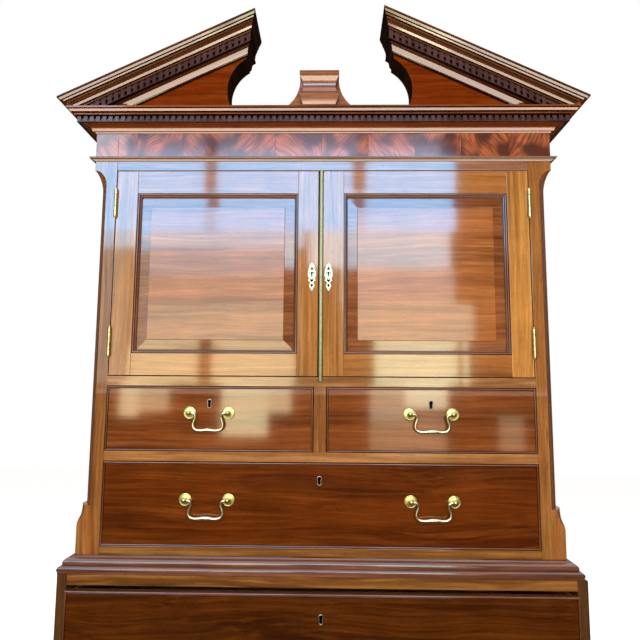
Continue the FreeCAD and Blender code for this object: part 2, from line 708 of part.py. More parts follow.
# ---- drawers and their brass ---------------------------------------------------------------------
def bail_line(spacing):
    """Centre line (x, z) of the swan-necked bail from its pivot axis, and the radius at each."""
    reach = spacing / 2 - knob_radius
    hook_x = -reach + bail_hook
    points = [(-reach - pin_length, 0.0), (-reach, 0.0)]
    points += [(hook_x + bail_hook * math.cos(math.radians(angle)),
                -bail_hook + bail_hook * math.sin(math.radians(angle)))
               for angle in (70.0, 0.0)]
    belly_x = -reach + bail_hook + bail_belly
    belly_z = -bail_drop + bail_belly + 3.0
    points += [(belly_x + bail_belly * math.cos(math.radians(angle)),
                belly_z + bail_belly * math.sin(math.radians(angle)))
               for angle in (185.0, 235.0)]
    points += [(-reach * 0.3, -bail_drop + 0.8), (0.0, -bail_drop)]
    radii = [bail_pin_radius] * 2 + [bail_radius] * (len(points) - 3) + [bail_swell]
    points += [(-x, z) for x, z in reversed(points[:-1])]
    radii += list(reversed(radii[:-1]))
    return points, radii


def pull(name, x, y, z, spacing):
    """Writes one handle's bail and returns its two posts, each turned in one with its rosette."""
    axis_y = y - pull_reach
    points, radii = bail_line(spacing)
    bar = rod(points, radii, bail_corners)
    bar.translate(Vector(x, axis_y, z))
    export(name, [bar])
    rosette = [(rosette_radius, 0.0), (rosette_radius - 2.5, rosette_thickness - 0.5),
               (post_radius, rosette_thickness),
               (post_radius, pull_reach - knob_radius), (knob_radius, pull_reach - 2.6),
               (knob_radius * 0.8, pull_reach + knob_radius)]
    posts = []
    for side in (-1, 1):
        post_x = x + side * spacing / 2
        post = turned(rosette, Vector(post_x, y, z), rosette_sides)
        ends = sorted((post_x, post_x - side * (knob_radius + 1.0)))
        socket = polygon_bar(bail_socket_radius, bail_corners, Vector(ends[0], axis_y, z),
                             Vector(ends[1], axis_y, z))
        posts.append(post.cut(socket))
    return posts


def drawer(name, left, right, low, high, depth, front_plane, pulls, spacing, key, slack=drawer_gap,
           out=0.0):
    """One drawer: cockbeaded front, box, brass and bails, standing out of its case by out."""
    y0 = front_plane - out
    x0 = left + drawer_gap
    x1 = right - drawer_gap
    z0 = low + drawer_gap * 0.6
    z1 = high - slack
    key_x, key_z = key
    board = block(x0 + bead_width, x1 - bead_width, y0, y0 + front_thickness,
                  z0 + bead_width, z1 - bead_width)
    board = board.cut(keyhole_cutter(Vector(key_x, y0, key_z), front_thickness))
    middle_x = (x0 + x1) / 2
    middle_z = (z0 + z1) / 2
    half_x = (x1 - x0) / 2
    half_z = (z1 - z0) / 2
    nose = [(0.0, front_thickness), (0.0, -bead_proud * 0.4), (bead_width * 0.3, -bead_proud),
            (bead_width * 0.7, -bead_proud), (bead_width, -bead_proud * 0.4),
            (bead_width, front_thickness)]
    solids = [board]
    for turn in range(4):
        span, other = (half_z, half_x) if turn % 2 else (half_x, half_z)
        run = outline(nose, lambda inward, deep: Vector(-span, y0 + deep, -other + inward))
        run = run.extrude(Vector(2 * span, 0, 0))
        wedge = outline([(-span, -other), (span, -other), (span - 20.0, -other + 20.0),
                         (-span + 20.0, -other + 20.0)],
                        lambda x, z: Vector(x, y0 - 5.0, z))
        run = run.common(wedge.extrude(Vector(0, front_thickness + 10.0, 0)))
        run.rotate(Vector(0, 0, 0), Vector(0, 1, 0), 90.0 * turn)
        run.translate(Vector(middle_x, 0, middle_z))
        solids.append(run)
    export(f"{name}_front", solids)

    side_x = left + max(drawer_gap, guide_gap)
    side_x1 = right - max(drawer_gap, guide_gap)
    box_front = y0 + front_thickness
    box_rear = y0 + depth
    bottom_low = low + run_gap + drawer_bottom_raise
    box_top = high - slack - drawer_headroom
    side_left = block(side_x, side_x + drawer_side, box_front, box_rear, low + run_gap, box_top)
    side_right = block(side_x1 - drawer_side, side_x1, box_front, box_rear,
                       low + run_gap, box_top)
    bottom = block(side_x + drawer_side, side_x1 - drawer_side, box_front, box_rear,
                   bottom_low, bottom_low + drawer_bottom)
    rear = block(side_x + drawer_side, side_x1 - drawer_side, box_rear - drawer_side, box_rear,
                 bottom_low + drawer_bottom, box_top)
    export(f"{name}_box", [side_left, side_right, bottom, rear])

    brass = []
    for index, (x, z) in enumerate(pulls):
        label = f"{name}_bail" if len(pulls) == 1 else f"{name}_bail_{('left', 'right')[index]}"
        brass += pull(label, x, y0, z, spacing)
    brass.append(block(key_x - lock_half, key_x + lock_half, box_front,
                       box_front + lock_thickness, key_z - lock_half, key_z + lock_above))
    export(f"{name}_brass", brass)


def drawers():
    short_pull = short_high - pull_drop_short
    short_key = short_high - keyhole_drop_short
    long_pull = long_high - pull_drop_long
    drawer("drawer_short_left", -opening_half, -divider_half, short_low, short_high,
           upper_drawer_depth, face, [(-pull_offset, short_pull)], pull_spacing_narrow,
           (-pull_offset, short_key))
    drawer("drawer_short_right", divider_half, opening_half, short_low, short_high,
           upper_drawer_depth, face, [(pull_offset, short_pull)], pull_spacing,
           (pull_offset, short_key))
    drawer("drawer_long", -opening_half, opening_half, long_low, long_high,
           upper_drawer_depth, face, [(-pull_offset, long_pull), (pull_offset, long_pull)],
           pull_spacing, (0.0, long_high - keyhole_drop_long))
    inner = base_half - base_side
    for name, (low, high) in zip(("base_drawer_bottom", "base_drawer_top"), base_openings):
        pull_z = high - pull_drop_base
        drawer(name, base_shift - inner, base_shift + inner, low, high, base_drawer_depth,
               base_face, [(base_shift - pull_offset, pull_z), (base_shift + pull_offset, pull_z)],
               pull_spacing, (base_shift + keyhole_base_x, high - keyhole_drop_base),
               base_drawer_slack, top_base_drawer_out if name == "base_drawer_top" else 0.0)


# ---- frieze and level cornice --------------------------------------------------------------------
def frieze():
    corner = block(-upper_half, -opening_half, face, face + rail_depth, frieze_low, frieze_high)
    board = block(-opening_half, opening_half, face, face + rail_depth, frieze_low, frieze_high)
    bead = [(0.0, bead_low)] + moved(bead_profile, 0, bead_low) + [(0.0, frieze_low)]
    export("frieze", [board] + both([corner]))
    return mitred_run(bead, upper_half, face, back)


def level_cornice_mouldings():
    top = level_top
    profile = [(0.0, frieze_high)] + moved(level_profile, 0, frieze_high) + [(0.0, top)]
    solids = mitred_run(profile, upper_half, face, back)

    def on_return(point):
        p, drop = point
        return p, crown_tip + drop + rake_slope * (crown_projection - p)

    crown = [tuple(on_return(q) for q in point) if isinstance(point[0], tuple)
             else on_return(point) for point in crown_profile]
    crown = ([(0.0, top), (level_profile[-1][0], top)] + reversed_profile(crown)
             + [(0.0, crown_tip)])
    solids += mitred_run(crown, upper_half, face, back, sides_only=True)
    return solids


def reversed_profile(points):
    """The same open outline walked the other way; arcs keep the points they pass through."""
    result = []
    through = None
    for point in reversed(points):
        arc = isinstance(point[0], tuple)
        end = point[1] if arc else point
        result.append((through, end) if through else end)
        through = point[0] if arc else None
    return result


# ---- pediment ------------------------------------------------------------------------------------
def tip_height(x):
    """Height of the raking crown's tip line over x, on either half."""
    return crown_tip + rake_slope * (cornice_half - abs(x))


def half_pediment(inner):
    """Left half: the tympanum block, its raking mouldings with their end return, and dentils."""
    end = inner + return_projection
    low = level_top
    top = tip_height(end)
    curve = [(-cornice_half, crown_tip), (-upper_half, crown_tip), (-upper_half, low),
             *moved(tympanum_end, -end, low, -1), (-end, top)]
    tympanum = outline(curve, lambda x, z: Vector(x, face, z))
    tympanum = tympanum.extrude(Vector(0, pediment_depth, 0))

    profile = crown_profile + bed_profile
    start = -cornice_half - 60.0
    tilt = math.atan(rake_slope)
    square = Vector(-math.sin(tilt), 0, math.cos(tilt)) * math.cos(tilt)
    foot = Vector(start, face, tip_height(0) + rake_slope * start)
    run = outline(profile + [(0.0, 0.0)],
                  lambda p, drop: foot + square * drop - Vector(0, p, 0))
    run = run.extrude(Vector(cornice_half, 0, rake_slope * cornice_half))
    plan = [(-upper_half, face), (-cornice_half, face - crown_projection),
            (-inner, face - crown_projection), (-end, face)]
    run = run.common(plan_prism(plan, low, tip_height(0)))

    squeeze = return_projection / crown_projection

    def on_end(p, drop):
        x = -end + squeeze * p
        return Vector(x, face - crown_projection, tip_height(x) + drop)

    turn = outline(profile + [(0.0, 0.0)], on_end)
    turn = turn.extrude(Vector(0, crown_projection + pediment_depth, 0))
    behind = [(-end, face), (-inner, face - crown_projection), (-inner, face + pediment_depth),
              (-end, face + pediment_depth)]
    turn = turn.common(plan_prism(behind, low, tip_height(0)))

    teeth = []
    x = -end + squeeze * (dentil_plane + dentil_reach) - dentil_width
    deep = rake_band
    while tip_height(x) + deep - rake_dentil_height > low:
        right = x + dentil_width
        tooth = outline([(x, tip_height(x) + deep), (right, tip_height(right) + deep),
                         (right, tip_height(right) + deep - rake_dentil_height),
                         (x, tip_height(x) + deep - rake_dentil_height)],
                        lambda u, z: Vector(u, face - dentil_plane, z))
        teeth.append(tooth.extrude(Vector(0, -dentil_reach, 0)))
        x -= dentil_pitch
    return [tympanum], [run, turn], teeth


def level_dentils():
    high = frieze_high + level_profile[8][1]
    low = high - dentil_height
    plane = upper_half + dentil_plane
    corner = plane + dentil_reach
    front = face - dentil_plane - dentil_reach
    count = round((2 * corner - dentil_width) / dentil_pitch)
    step = (2 * corner - dentil_width) / count
    # the two corner teeth are square in plan
    teeth = both([block(-corner, -plane, front, front + dentil_reach, low, high)])
    for i in range(1, count):
        x = i * step - corner
        teeth.append(block(x, x + dentil_width, front, front + dentil_reach, low, high))
    y = front + step
    side = []
    while y + dentil_width < back:
        side.append(block(-corner, -plane, y, y + dentil_width, low, high))
        y += step
    return teeth + both(side)


def pediment():
    left = half_pediment(pediment_inner - pediment_shift)
    right = [[mirrored(solid) for solid in group]
             for group in half_pediment(pediment_inner + pediment_shift)]
    export("pediment_tympana", left[0] + right[0])
    export("rake_mouldings", left[1] + right[1])
    export("dentils", level_dentils() + left[2] + right[2])


def plinth():
    """The pedestal in the pediment's gap: a moulded block on a board with swept sides."""
    low = level_top
    high = low + plinth_height
    neck = plinth_half - plinth_profile[-1][0]
    front = face - plinth_reach + plinth_profile[-1][0]
    profile = [(0.0, low)] + moved(plinth_profile, 0, low) + [(0.0, high)]
    mouldings = mitred_run(profile, neck, front, face)
    core = block(-neck, neck, front, face, low, high)
    left = moved(plinth_sweep, -plinth_half, low, -1)
    right = reversed_profile(moved(plinth_sweep, plinth_half, low))
    board = outline(left + right, lambda x, z: Vector(x, face, z))
    board = board.extrude(Vector(0, pediment_depth, 0))
    solids = mouldings + [core, board]
    for solid in solids:
        solid.translate(Vector(pediment_shift, 0, 0))
    export("pediment_plinth", solids)


lower_case()
feet()
waist()
export("guides_and_bearers", upper_case() + trays())
cornice_frame()
doors()
drawers()
export("cornice_mouldings", frieze() + level_cornice_mouldings())
pediment()
plinth()
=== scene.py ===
import bmesh
import bpy
import math
from mathutils import Matrix, Vector


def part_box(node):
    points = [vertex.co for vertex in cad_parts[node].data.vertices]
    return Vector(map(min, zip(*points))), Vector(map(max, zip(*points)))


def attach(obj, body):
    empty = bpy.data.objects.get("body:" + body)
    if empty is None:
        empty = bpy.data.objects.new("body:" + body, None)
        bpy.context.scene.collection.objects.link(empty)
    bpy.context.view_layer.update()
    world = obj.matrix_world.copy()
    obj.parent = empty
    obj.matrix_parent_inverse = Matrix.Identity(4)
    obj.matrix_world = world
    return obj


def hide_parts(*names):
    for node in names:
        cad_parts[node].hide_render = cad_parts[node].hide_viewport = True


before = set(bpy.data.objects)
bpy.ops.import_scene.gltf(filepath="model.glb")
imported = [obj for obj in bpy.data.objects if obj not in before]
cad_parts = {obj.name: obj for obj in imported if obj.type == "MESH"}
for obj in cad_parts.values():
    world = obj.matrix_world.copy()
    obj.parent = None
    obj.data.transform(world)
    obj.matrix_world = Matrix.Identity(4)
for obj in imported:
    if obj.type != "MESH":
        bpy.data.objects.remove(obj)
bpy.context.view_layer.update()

# ---- the camera ---------------------------------------------------------------------------------
# It stands 1.7 m in front of the press at the height of the short drawers, and looks a little up,
# so that the pediment and the head of the lower stage are both in view.
base_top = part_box("base_sides")[1].z
camera = bpy.data.objects.new("camera", bpy.data.cameras.new("camera"))
bpy.context.scene.collection.objects.link(camera)
yaw, pitch, roll = -0.0195858, 0.1208347, 0.0066170
camera.matrix_world = (Matrix.Translation((0.0276217, -1.6975584, base_top + 0.4195))
                       @ Matrix.Rotation(-yaw, 4, "Z")
                       @ Matrix.Rotation(math.pi / 2 + pitch, 4, "X")
                       @ Matrix.Rotation(roll, 4, "Z"))
camera.data.lens = 33.75
camera.data.sensor_width = 36.0
camera.data.clip_end = 60.0
bpy.context.scene.camera = camera
bpy.context.scene.view_settings.view_transform = "Standard"


# ---- the room: white world, pale floor and lamps ------------------------------------------------
# The press stands in a white room. Panes of light in front of it, cool from the sky and warm from
# a sunlit yard, show in the polish. Three soft lamps that don't show there give the plain light.
def node(tree, kind, settings=None, **sockets):
    """A shader node with its options set and its sockets given values or links."""
    made = tree.nodes.new("ShaderNode" + kind)
    for name, value in (settings or {}).items():
        setattr(made, name, value)
    for name, value in sockets.items():
        number = name.lstrip("_")
        socket = made.inputs[int(number) if number.isdigit() else name.replace("_", " ")]
        if isinstance(value, bpy.types.NodeSocket):
            tree.links.new(value, socket)
        else:
            socket.default_value = value
    return made


def maths(tree, operation, first, second=0.5):
    """The result of one sum."""
    return node(tree, "Math", {"operation": operation}, _0=first, _1=second).outputs[0]


def blend(tree, share, first, second, way="MIX"):
    """One colour going over into another, each of them three numbers or a link."""
    first, second = [tone if isinstance(tone, bpy.types.NodeSocket) else (*tone, 1)
                     for tone in (first, second)]
    return node(tree, "Mix", {"data_type": "RGBA", "blend_type": way}, Factor=share, _6=first,
                _7=second).outputs[2]


def new_finish(name):
    """A new material, its node tree and its shader."""
    made = bpy.data.materials.new(name)
    made.use_nodes = True
    return made, made.node_tree, made.node_tree.nodes["Principled BSDF"]


def area_light(name, place, wide, high, power, colour=(1.0, 1.0, 1.0)):
    """A plain rectangular lamp, facing down until it is turned."""
    lamp = bpy.data.lights.new(name, "AREA")
    lamp.shape = "RECTANGLE"
    lamp.size, lamp.size_y = wide, high
    lamp.energy, lamp.color = power, colour
    hung = bpy.data.objects.new(name, lamp)
    hung.location = place
    bpy.context.scene.collection.objects.link(hung)
    return hung


world = bpy.data.worlds.new("white room")
world.use_nodes = True
bpy.context.scene.world = world
room = world.node_tree
path = node(room, "LightPath").outputs
heading = node(room, "SeparateXYZ", Vector=node(room, "TexCoord").outputs["Generated"]).outputs
behind = node(room, "MapRange", Value=heading["Y"], From_Min=0.88, From_Max=0.95).outputs[0]
above = node(room, "MapRange", Value=heading["Z"], From_Min=-0.25, From_Max=0.1).outputs[0]
high = node(room, "MapRange", Value=heading["Z"], From_Min=0.60, From_Max=0.70).outputs[0]
front_wall = blend(room, above, (0.05, 0.028, 0.014), (0.06, 0.05, 0.055))
front_wall = blend(room, high, front_wall, (2.2, 1.9, 2.0))
seen = blend(room, behind, front_wall, (1, 1, 1))
mirrored = maths(room, "MAXIMUM", path["Is Glossy Ray"], path["Is Transmission Ray"])
fill = blend(room, mirrored, (0.17, 0.15, 0.13), seen)
whole = blend(room, path["Is Camera Ray"], fill, (1, 1, 1))
room.links.new(whole, room.nodes["Background"].inputs["Color"])
WINDOW_PLANE = -3.7


def window(low, high, colour, *spans):
    """Panes of light of one colour between two heights, 3.5 m in front of the press."""
    strength = max(colour)
    for left, right in spans:
        wide, tall = right - left, high - low
        pane = area_light("window", ((left + right) / 2, WINDOW_PLANE, (low + high) / 2), wide,
                          tall, strength * math.pi * wide * tall,
                          [part / strength for part in colour])
        pane.rotation_euler = (math.pi / 2, 0, 0)


window(1.04, 1.31, (7.6, 6.6, 3.8), (-1.71, -1.55))
window(1.08, 1.31, (4.8, 4.0, 2.3), (-1.55, -1.30))
window(1.08, 1.31, (6.0, 5.4, 3.3), (-0.49, -0.30))
window(0.89, 1.31, (7.6, 7.0, 4.2), (-0.87, -0.49))
window(1.02, 1.31, (4.4, 3.8, 2.4), (0.34, 0.63))
window(1.12, 1.31, (8.6, 8.6, 5.6), (0.63, 0.97))
window(0.76, 1.06, (2.6, 2.0, 1.2), (0.34, 0.96), (1.38, 1.58))
window(1.31, 1.62, (6.8, 5.9, 3.5), (-1.66, -1.07), (-0.96, -0.27))
window(1.31, 1.62, (7.6, 8.2, 5.2), (0.38, 1.06), (1.10, 1.15))
window(1.62, 1.98, (4.0, 4.1, 3.2), (-1.63, -0.27), (0.14, 1.20))
window(1.98, 2.22, (2.4, 2.5, 2.4), (-1.62, -0.27))
window(2.22, 2.45, (2.8, 3.7, 4.4), (-1.62, -0.27))
window(1.31, 2.45, (2.2, 2.2, 1.9), (-1.95, -1.68))
window(1.98, 2.28, (3.2, 3.3, 3.3), (0.10, 1.05))
window(2.28, 2.60, (5.2, 7.2, 8.4), (-0.16, 1.02))
window(2.45, 2.72, (3.6, 6.4, 8.4), (-2.40, -0.20))
window(2.60, 3.24, (2.2, 7.8, 13.5), (-2.60, -1.06), (-0.96, 0.20), (0.31, 1.07))
window(2.60, 2.93, (1.6, 5.2, 9.0), (-1.06, -0.96), (0.20, 0.31))
window(3.24, 3.34, (3.4, 3.9, 5.4), (-1.74, -1.06), (-0.96, 0.26), (0.34, 0.95))
window(3.34, 3.60, (1.3, 1.6, 2.3), (-1.74, -1.06), (-0.96, 0.26), (0.34, 0.95))
window(3.24, 3.66, (4.4, 5.6, 7.0), (-2.60, -1.74))
wide, deep = 3.6, 2.3
paving = area_light("sunlit paving", (-0.3, -2.35, 1.235), wide, deep, 8.0 * math.pi * wide * deep,
                    (1.0, 0.86, 0.70))
paving.rotation_euler = (math.pi, 0, 0)
paving.visible_camera = paving.visible_diffuse = False
middle_of_press = Vector((0, 0, 1.0))
for name, place, power in (("left light", (-3.2, 1.4, 2.6), 60.0),
                           ("right light", (3.2, 1.4, 2.6), 60.0),
                           ("front light", (0.4, -3.6, 1.7), 65.0)):
    lantern = area_light(name, place, 2.4, 2.4, power)
    lantern.visible_glossy = False
    aim = middle_of_press - lantern.location
    lantern.rotation_euler = aim.to_track_quat("-Z", "Y").to_euler()

bpy.ops.object.select_all(action="DESELECT")
bpy.ops.mesh.primitive_plane_add(size=16.0, location=(0, 0, 0))
floor = bpy.context.object
floor.name = "floor"
floor.visible_glossy = False
floor_paint, paint_tree, floor_shader = new_finish("pale floor")
floor_shader.inputs["Base Color"].default_value = (0.5, 0.5, 0.5, 1)
floor_shader.inputs["Roughness"].default_value = 0.9
floor_shader.inputs["Specular IOR Level"].default_value = 0.0
floor_shader.inputs["Emission Color"].default_value = (1, 1, 1, 1)
to_camera = node(paint_tree, "LightPath").outputs["Is Camera Ray"]
whitened = maths(paint_tree, "MULTIPLY", to_camera, 0.9)
paint_tree.links.new(whitened, floor_shader.inputs["Emission Strength"])
floor.data.materials.append(floor_paint)


# ---- lower stage: sides and rails ---------------------------------------------------------------
# Two boards of straight-grained mahogany with golden rails let in between them. All of it has a
# thick shellac polish, so a clear coat lies over the open grain.
figure = bpy.data.node_groups.new("mahogany figure", "ShaderNodeTree")
for name, kind in (("Place", "Vector"), ("Deep", "Color"), ("Warm", "Color"), ("Pale", "Color"),
                   ("Streaks", "Float"), ("Wander", "Float")):
    figure.interface.new_socket(name, in_out="INPUT", socket_type="NodeSocket" + kind)
for name, kind in (("Colour", "Color"), ("Polish", "Float"), ("Height", "Float"),
                   ("Coat", "Float")):
    figure.interface.new_socket(name, in_out="OUTPUT", socket_type="NodeSocket" + kind)
given = figure.nodes.new("NodeGroupInput").outputs


def stretched(tree, place, scale, detail=2.0, roughness=0.5):
    """Noise drawn out along the grain."""
    drawn = node(tree, "Mapping", Vector=place, Scale=scale)
    return node(tree, "TexNoise", Vector=drawn.outputs[0], Scale=1.0, Detail=detail,
                Roughness=roughness).outputs


def between(tree, value, low, high, to_low=0.0, to_high=1.0):
    """A value eased from one range to another."""
    return node(tree, "MapRange", {"interpolation_type": "SMOOTHSTEP"}, Value=value, From_Min=low,
                From_Max=high, To_Min=to_low, To_Max=to_high).outputs[0]


bend = node(figure, "VectorMath", {"operation": "SUBTRACT"},
            _0=stretched(figure, given["Place"], (1.7, 5.0, 5.0))["Color"], _1=(0.5, 0.5, 0.5))
bend = node(figure, "VectorMath", {"operation": "SCALE"}, _0=bend.outputs[0], Scale=given["Wander"])
grain = node(figure, "VectorMath", {"operation": "ADD"}, _0=given["Place"],
             _1=bend.outputs[0]).outputs[0]
bands = stretched(figure, grain, (1.1, 21.0, 21.0), 3.0, 0.55)["Fac"]
ribbons = stretched(figure, grain, (2.6, 88.0, 88.0), 3.0, 0.6)["Fac"]
lines = stretched(figure, grain, (6.0, 260.0, 260.0), 2.0, 0.6)["Fac"]
dark_lines = stretched(figure, grain, (1.7, 105.0, 105.0), 2.0, 0.55)["Fac"]
pores = stretched(figure, grain, (60.0, 900.0, 900.0), 1.0)["Fac"]
mottle = stretched(figure, given["Place"], (13.0, 6.0, 6.0))["Fac"]
ground = blend(figure, between(figure, bands, 0.26, 0.60), given["Deep"], given["Warm"])
light = maths(figure, "MULTIPLY", between(figure, ribbons, 0.44, 0.68), given["Streaks"])
streaked = blend(figure, light, ground, given["Pale"])
# Ambient occlusion darkens the colour in corners, quirks and gaps: painted shade, with some dark
# polish gathered there. It also thins the coat there.
corner_shade = node(figure, "AmbientOcclusion", Distance=0.007).outputs["AO"]
shade = between(figure, lines, 0.3, 0.7, 0.82, 1.14)
for darkened in ((mottle, 0.3, 0.7, 0.92, 1.07), (pores, 0.60, 0.72, 1.0, 0.66),
                 (dark_lines, 0.58, 0.72, 1.0, 0.72), (corner_shade, 0.25, 0.85, 0.16, 1.0)):
    shade = maths(figure, "MULTIPLY", shade, between(figure, *darkened))
shade = node(figure, "CombineColor", Red=shade, Green=shade, Blue=shade).outputs[0]
put = figure.nodes.new("NodeGroupOutput").inputs
figure.links.new(blend(figure, 1.0, streaked, shade, "MULTIPLY"), put["Colour"])
figure.links.new(between(figure, mottle, 0.3, 0.7, 0.26, 0.40), put["Polish"])
figure.links.new(between(figure, pores, 0.58, 0.74, 1.0, 0.0), put["Height"])
figure.links.new(between(figure, corner_shade, 0.20, 0.75, 0.1, 1.0), put["Coat"])

ALONG = {"X": (0, 0, 0), "Y": (0, 0, -math.pi / 2), "Z": (0, math.pi / 2, 0)}


def mahogany(name, grain_axis, deep, warm, pale, streaks=0.4, wander=0.04, shift=0.0, coat=1.65,
             tilt=0.0):
    """Polished mahogany. Its grain runs along one axis, or for a box "XY" along each wall; tilt
    turns it in the front plane, and coat is how strongly its polish mirrors."""
    wood, tree, shader = new_finish(name)
    turn = ALONG[grain_axis[0]] if not tilt else (0, tilt, 0)
    here = node(tree, "TexCoord").outputs
    place = node(tree, "Mapping", Vector=here["Object"], Rotation=turn,
                 Location=(shift, shift * 0.37, shift * 0.61)).outputs[0]
    if grain_axis == "XY":
        facing = node(tree, "SeparateXYZ", Vector=here["Normal"]).outputs["X"]
        side_wall = maths(tree, "GREATER_THAN", maths(tree, "ABSOLUTE", facing), 0.5)
        along_wall = node(tree, "Mapping", Vector=here["Object"], Rotation=ALONG["Y"]).outputs[0]
        place = node(tree, "Mix", {"data_type": "VECTOR"}, Factor=side_wall, _4=place,
                     _5=along_wall).outputs[1]
    drawn = node(tree, "Group", {"node_tree": figure}, Place=place, Deep=(*deep, 1),
                 Warm=(*warm, 1), Pale=(*pale, 1), Streaks=streaks, Wander=wander).outputs
    bump = node(tree, "Bump", Height=drawn["Height"], Strength=0.12, Distance=0.0003)
    tree.links.new(drawn["Colour"], shader.inputs["Base Color"])
    tree.links.new(drawn["Polish"], shader.inputs["Roughness"])
    tree.links.new(bump.outputs[0], shader.inputs["Normal"])
    shader.inputs["Specular IOR Level"].default_value = 0.0
    if coat:
        tree.links.new(drawn["Coat"], shader.inputs["Coat Weight"])
    shader.inputs["Coat Roughness"].default_value = 0.07
    shader.inputs["Coat IOR"].default_value = max(coat, 1.0)
    return wood


def matched(name, axes, *tones, **settings):
    """One wood with its grain along each of several axes, for the lengths of a mitred frame."""
    return [mahogany(f"{name} {axis}", axis, *tones, **settings) for axis in axes]


def finished(node_name, material):
    """A CAD node's own slots take this finish."""
    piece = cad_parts[node_name]
    piece.data.materials.clear()
    piece.data.materials.append(material)


dark_upright = mahogany("dark upright mahogany", "Z", (0.050, 0.018, 0.006), (0.095, 0.032, 0.010),
                        (0.14, 0.055, 0.018))
golden_rail = mahogany("golden rail mahogany", "X", (0.085, 0.022, 0.004), (0.21, 0.062, 0.011),
                       (0.38, 0.14, 0.030), 0.7, shift=0.7)
finished("base_sides", dark_upright)
finished("base_front_rails", golden_rail)
pine = mahogany("plain drawer wood", "XY", (0.30, 0.165, 0.075), (0.44, 0.27, 0.13),
                (0.55, 0.37, 0.20), 0.5, coat=0.0)
upright_pine = mahogany("plain back wood", "Z", (0.24, 0.13, 0.06), (0.36, 0.21, 0.10),
                        (0.46, 0.30, 0.16), 0.6, shift=3.0, coat=0.0)
for hidden in ("base_boards", "base_back_boards", "press_boards", "guides_and_bearers",
               "cornice_frame"):
    finished(hidden, pine)
finished("press_back_boards", upright_pine)


# ---- foot moulding and bracket feet -------------------------------------------------------------
# A small moulding is planted round the foot of the case, and four sawn bracket feet carry it.
# The mouldings are worked from the solid and mitred at the corners.
def rounded(points, step=12.0):
    """A section's points; an arc, written (through, end), becomes short straight lengths."""
    drawn = [Vector(points[0])]
    for point in points[1:]:
        if not isinstance(point[0], tuple):
            drawn.append(Vector(point))
            continue
        start, through, end = drawn[-1], Vector(point[0]), Vector(point[1])
        a, b = through - start, end - start
        twice = 2 * (a.x * b.y - a.y * b.x)
        centre = start + Vector((b.y * a.length_squared - a.y * b.length_squared,
                                 a.x * b.length_squared - b.x * a.length_squared)) / twice
        spoke = start - centre
        turn = math.atan2(spoke.x * (end - centre).y - spoke.y * (end - centre).x,
                          spoke.dot(end - centre))
        if twice > 0 > turn:
            turn += 2 * math.pi
        elif twice < 0 < turn:
            turn -= 2 * math.pi
        count = max(2, round(abs(math.degrees(turn)) / step))
        for i in range(1, count + 1):
            angle = turn * i / count
            drawn.append(centre + Vector((spoke.x * math.cos(angle) - spoke.y * math.sin(angle),
                                          spoke.x * math.sin(angle) + spoke.y * math.cos(angle))))
    return drawn


def started(name, *places):
    """A new piece in edit mode: one point, or one edge between two, ready to be pulled out."""
    bpy.ops.object.select_all(action="DESELECT")
    bpy.ops.mesh.primitive_plane_add(size=1)
    piece = bpy.context.object
    piece.name = name
    bpy.ops.object.mode_set(mode="EDIT")
    bpy.ops.mesh.select_all(action="DESELECT")
    mesh = bmesh.from_edit_mesh(piece.data)
    mesh.verts.ensure_lookup_table()
    for vert in mesh.verts[len(places):]:
        vert.select_set(True)
    mesh.select_flush(True)
    bpy.ops.mesh.delete(type="VERT")
    for vert, place in zip(mesh.verts, places):
        vert.co = place
        vert.select_set(True)
    mesh.select_flush(True)
    bmesh.update_edit_mesh(piece.data)
    return piece


def sawn(piece, cuts):
    """Saws off what lies past each plane, (place, outwards), and turns all faces outwards."""
    bpy.ops.object.mode_set(mode="EDIT")
    for place, outwards in cuts:
        bpy.ops.mesh.select_all(action="SELECT")
        bpy.ops.mesh.bisect(plane_co=place, plane_no=outwards, use_fill=True, clear_outer=True)
    bpy.ops.mesh.select_all(action="SELECT")
    bpy.ops.mesh.normals_make_consistent(inside=False)
    bpy.ops.object.mode_set(mode="OBJECT")
    return piece


def worked(name, axis, low, high, section, cuts=()):
    """A length of one section, drawn by pulling an edge round it, its ends closed or cut."""
    lift = {"X": lambda a, u, v: Vector((a, u, v)), "Y": lambda a, u, v: Vector((u, a, v)),
            "Z": lambda a, u, v: Vector((u, v, a))}[axis]
    piece = started(name, lift(low, *section[0]), lift(high, *section[0]))
    for here, there in zip(section, list(section[1:]) + [section[0]]):
        step = lift(0, *(Vector(there) - Vector(here)))
        bpy.ops.mesh.extrude_region_move(TRANSFORM_OT_translate={"value": step})
    bpy.ops.mesh.select_all(action="SELECT")
    bpy.ops.mesh.remove_doubles(threshold=1e-6)
    bpy.ops.mesh.fill_holes(sides=0)
    return sawn(piece, cuts)


def only(piece):
    """Makes a piece the only one selected."""
    bpy.ops.object.select_all(action="DESELECT")
    piece.select_set(True)
    bpy.context.view_layer.objects.active = piece


def placed(piece, body, material, *stands_for, smooth=24.0):
    """Finishes a piece: its material, its shading, the body that it moves with."""
    piece.data.materials.clear()
    piece.data.materials.append(material)
    only(piece)
    if smooth:
        bpy.ops.object.shade_smooth_by_angle(angle=math.radians(smooth))
    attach(piece, body)
    if stands_for:
        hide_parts(*stands_for)
    return piece


def mitred(name, section, half, front, rear, woods, middle=0.0, fronted=True):
    """A moulding round the front and sides; its section's points are (projection, height)."""
    pieces = []
    if fronted:
        run = [(front - p, z) for p, z in section]
        pieces.append(placed(worked(f"{name}_front", "X", middle - half - 0.1, middle + half + 0.1,
                                    run, [((middle - half, front, 0), (-1, 1, 0)),
                                          ((middle + half, front, 0), (1, 1, 0))]),
                             "case", woods[0]))
    for side, label in ((-1, "left"), (1, "right")):
        edge = middle + side * half
        run = [(edge + side * p, z) for p, z in section]
        pieces.append(placed(worked(f"{name}_{label}", "Y", front - 0.1, rear, run,
                                    [((edge, front, 0), (-side, -1, 0))]), "case", woods[1]))
    return pieces


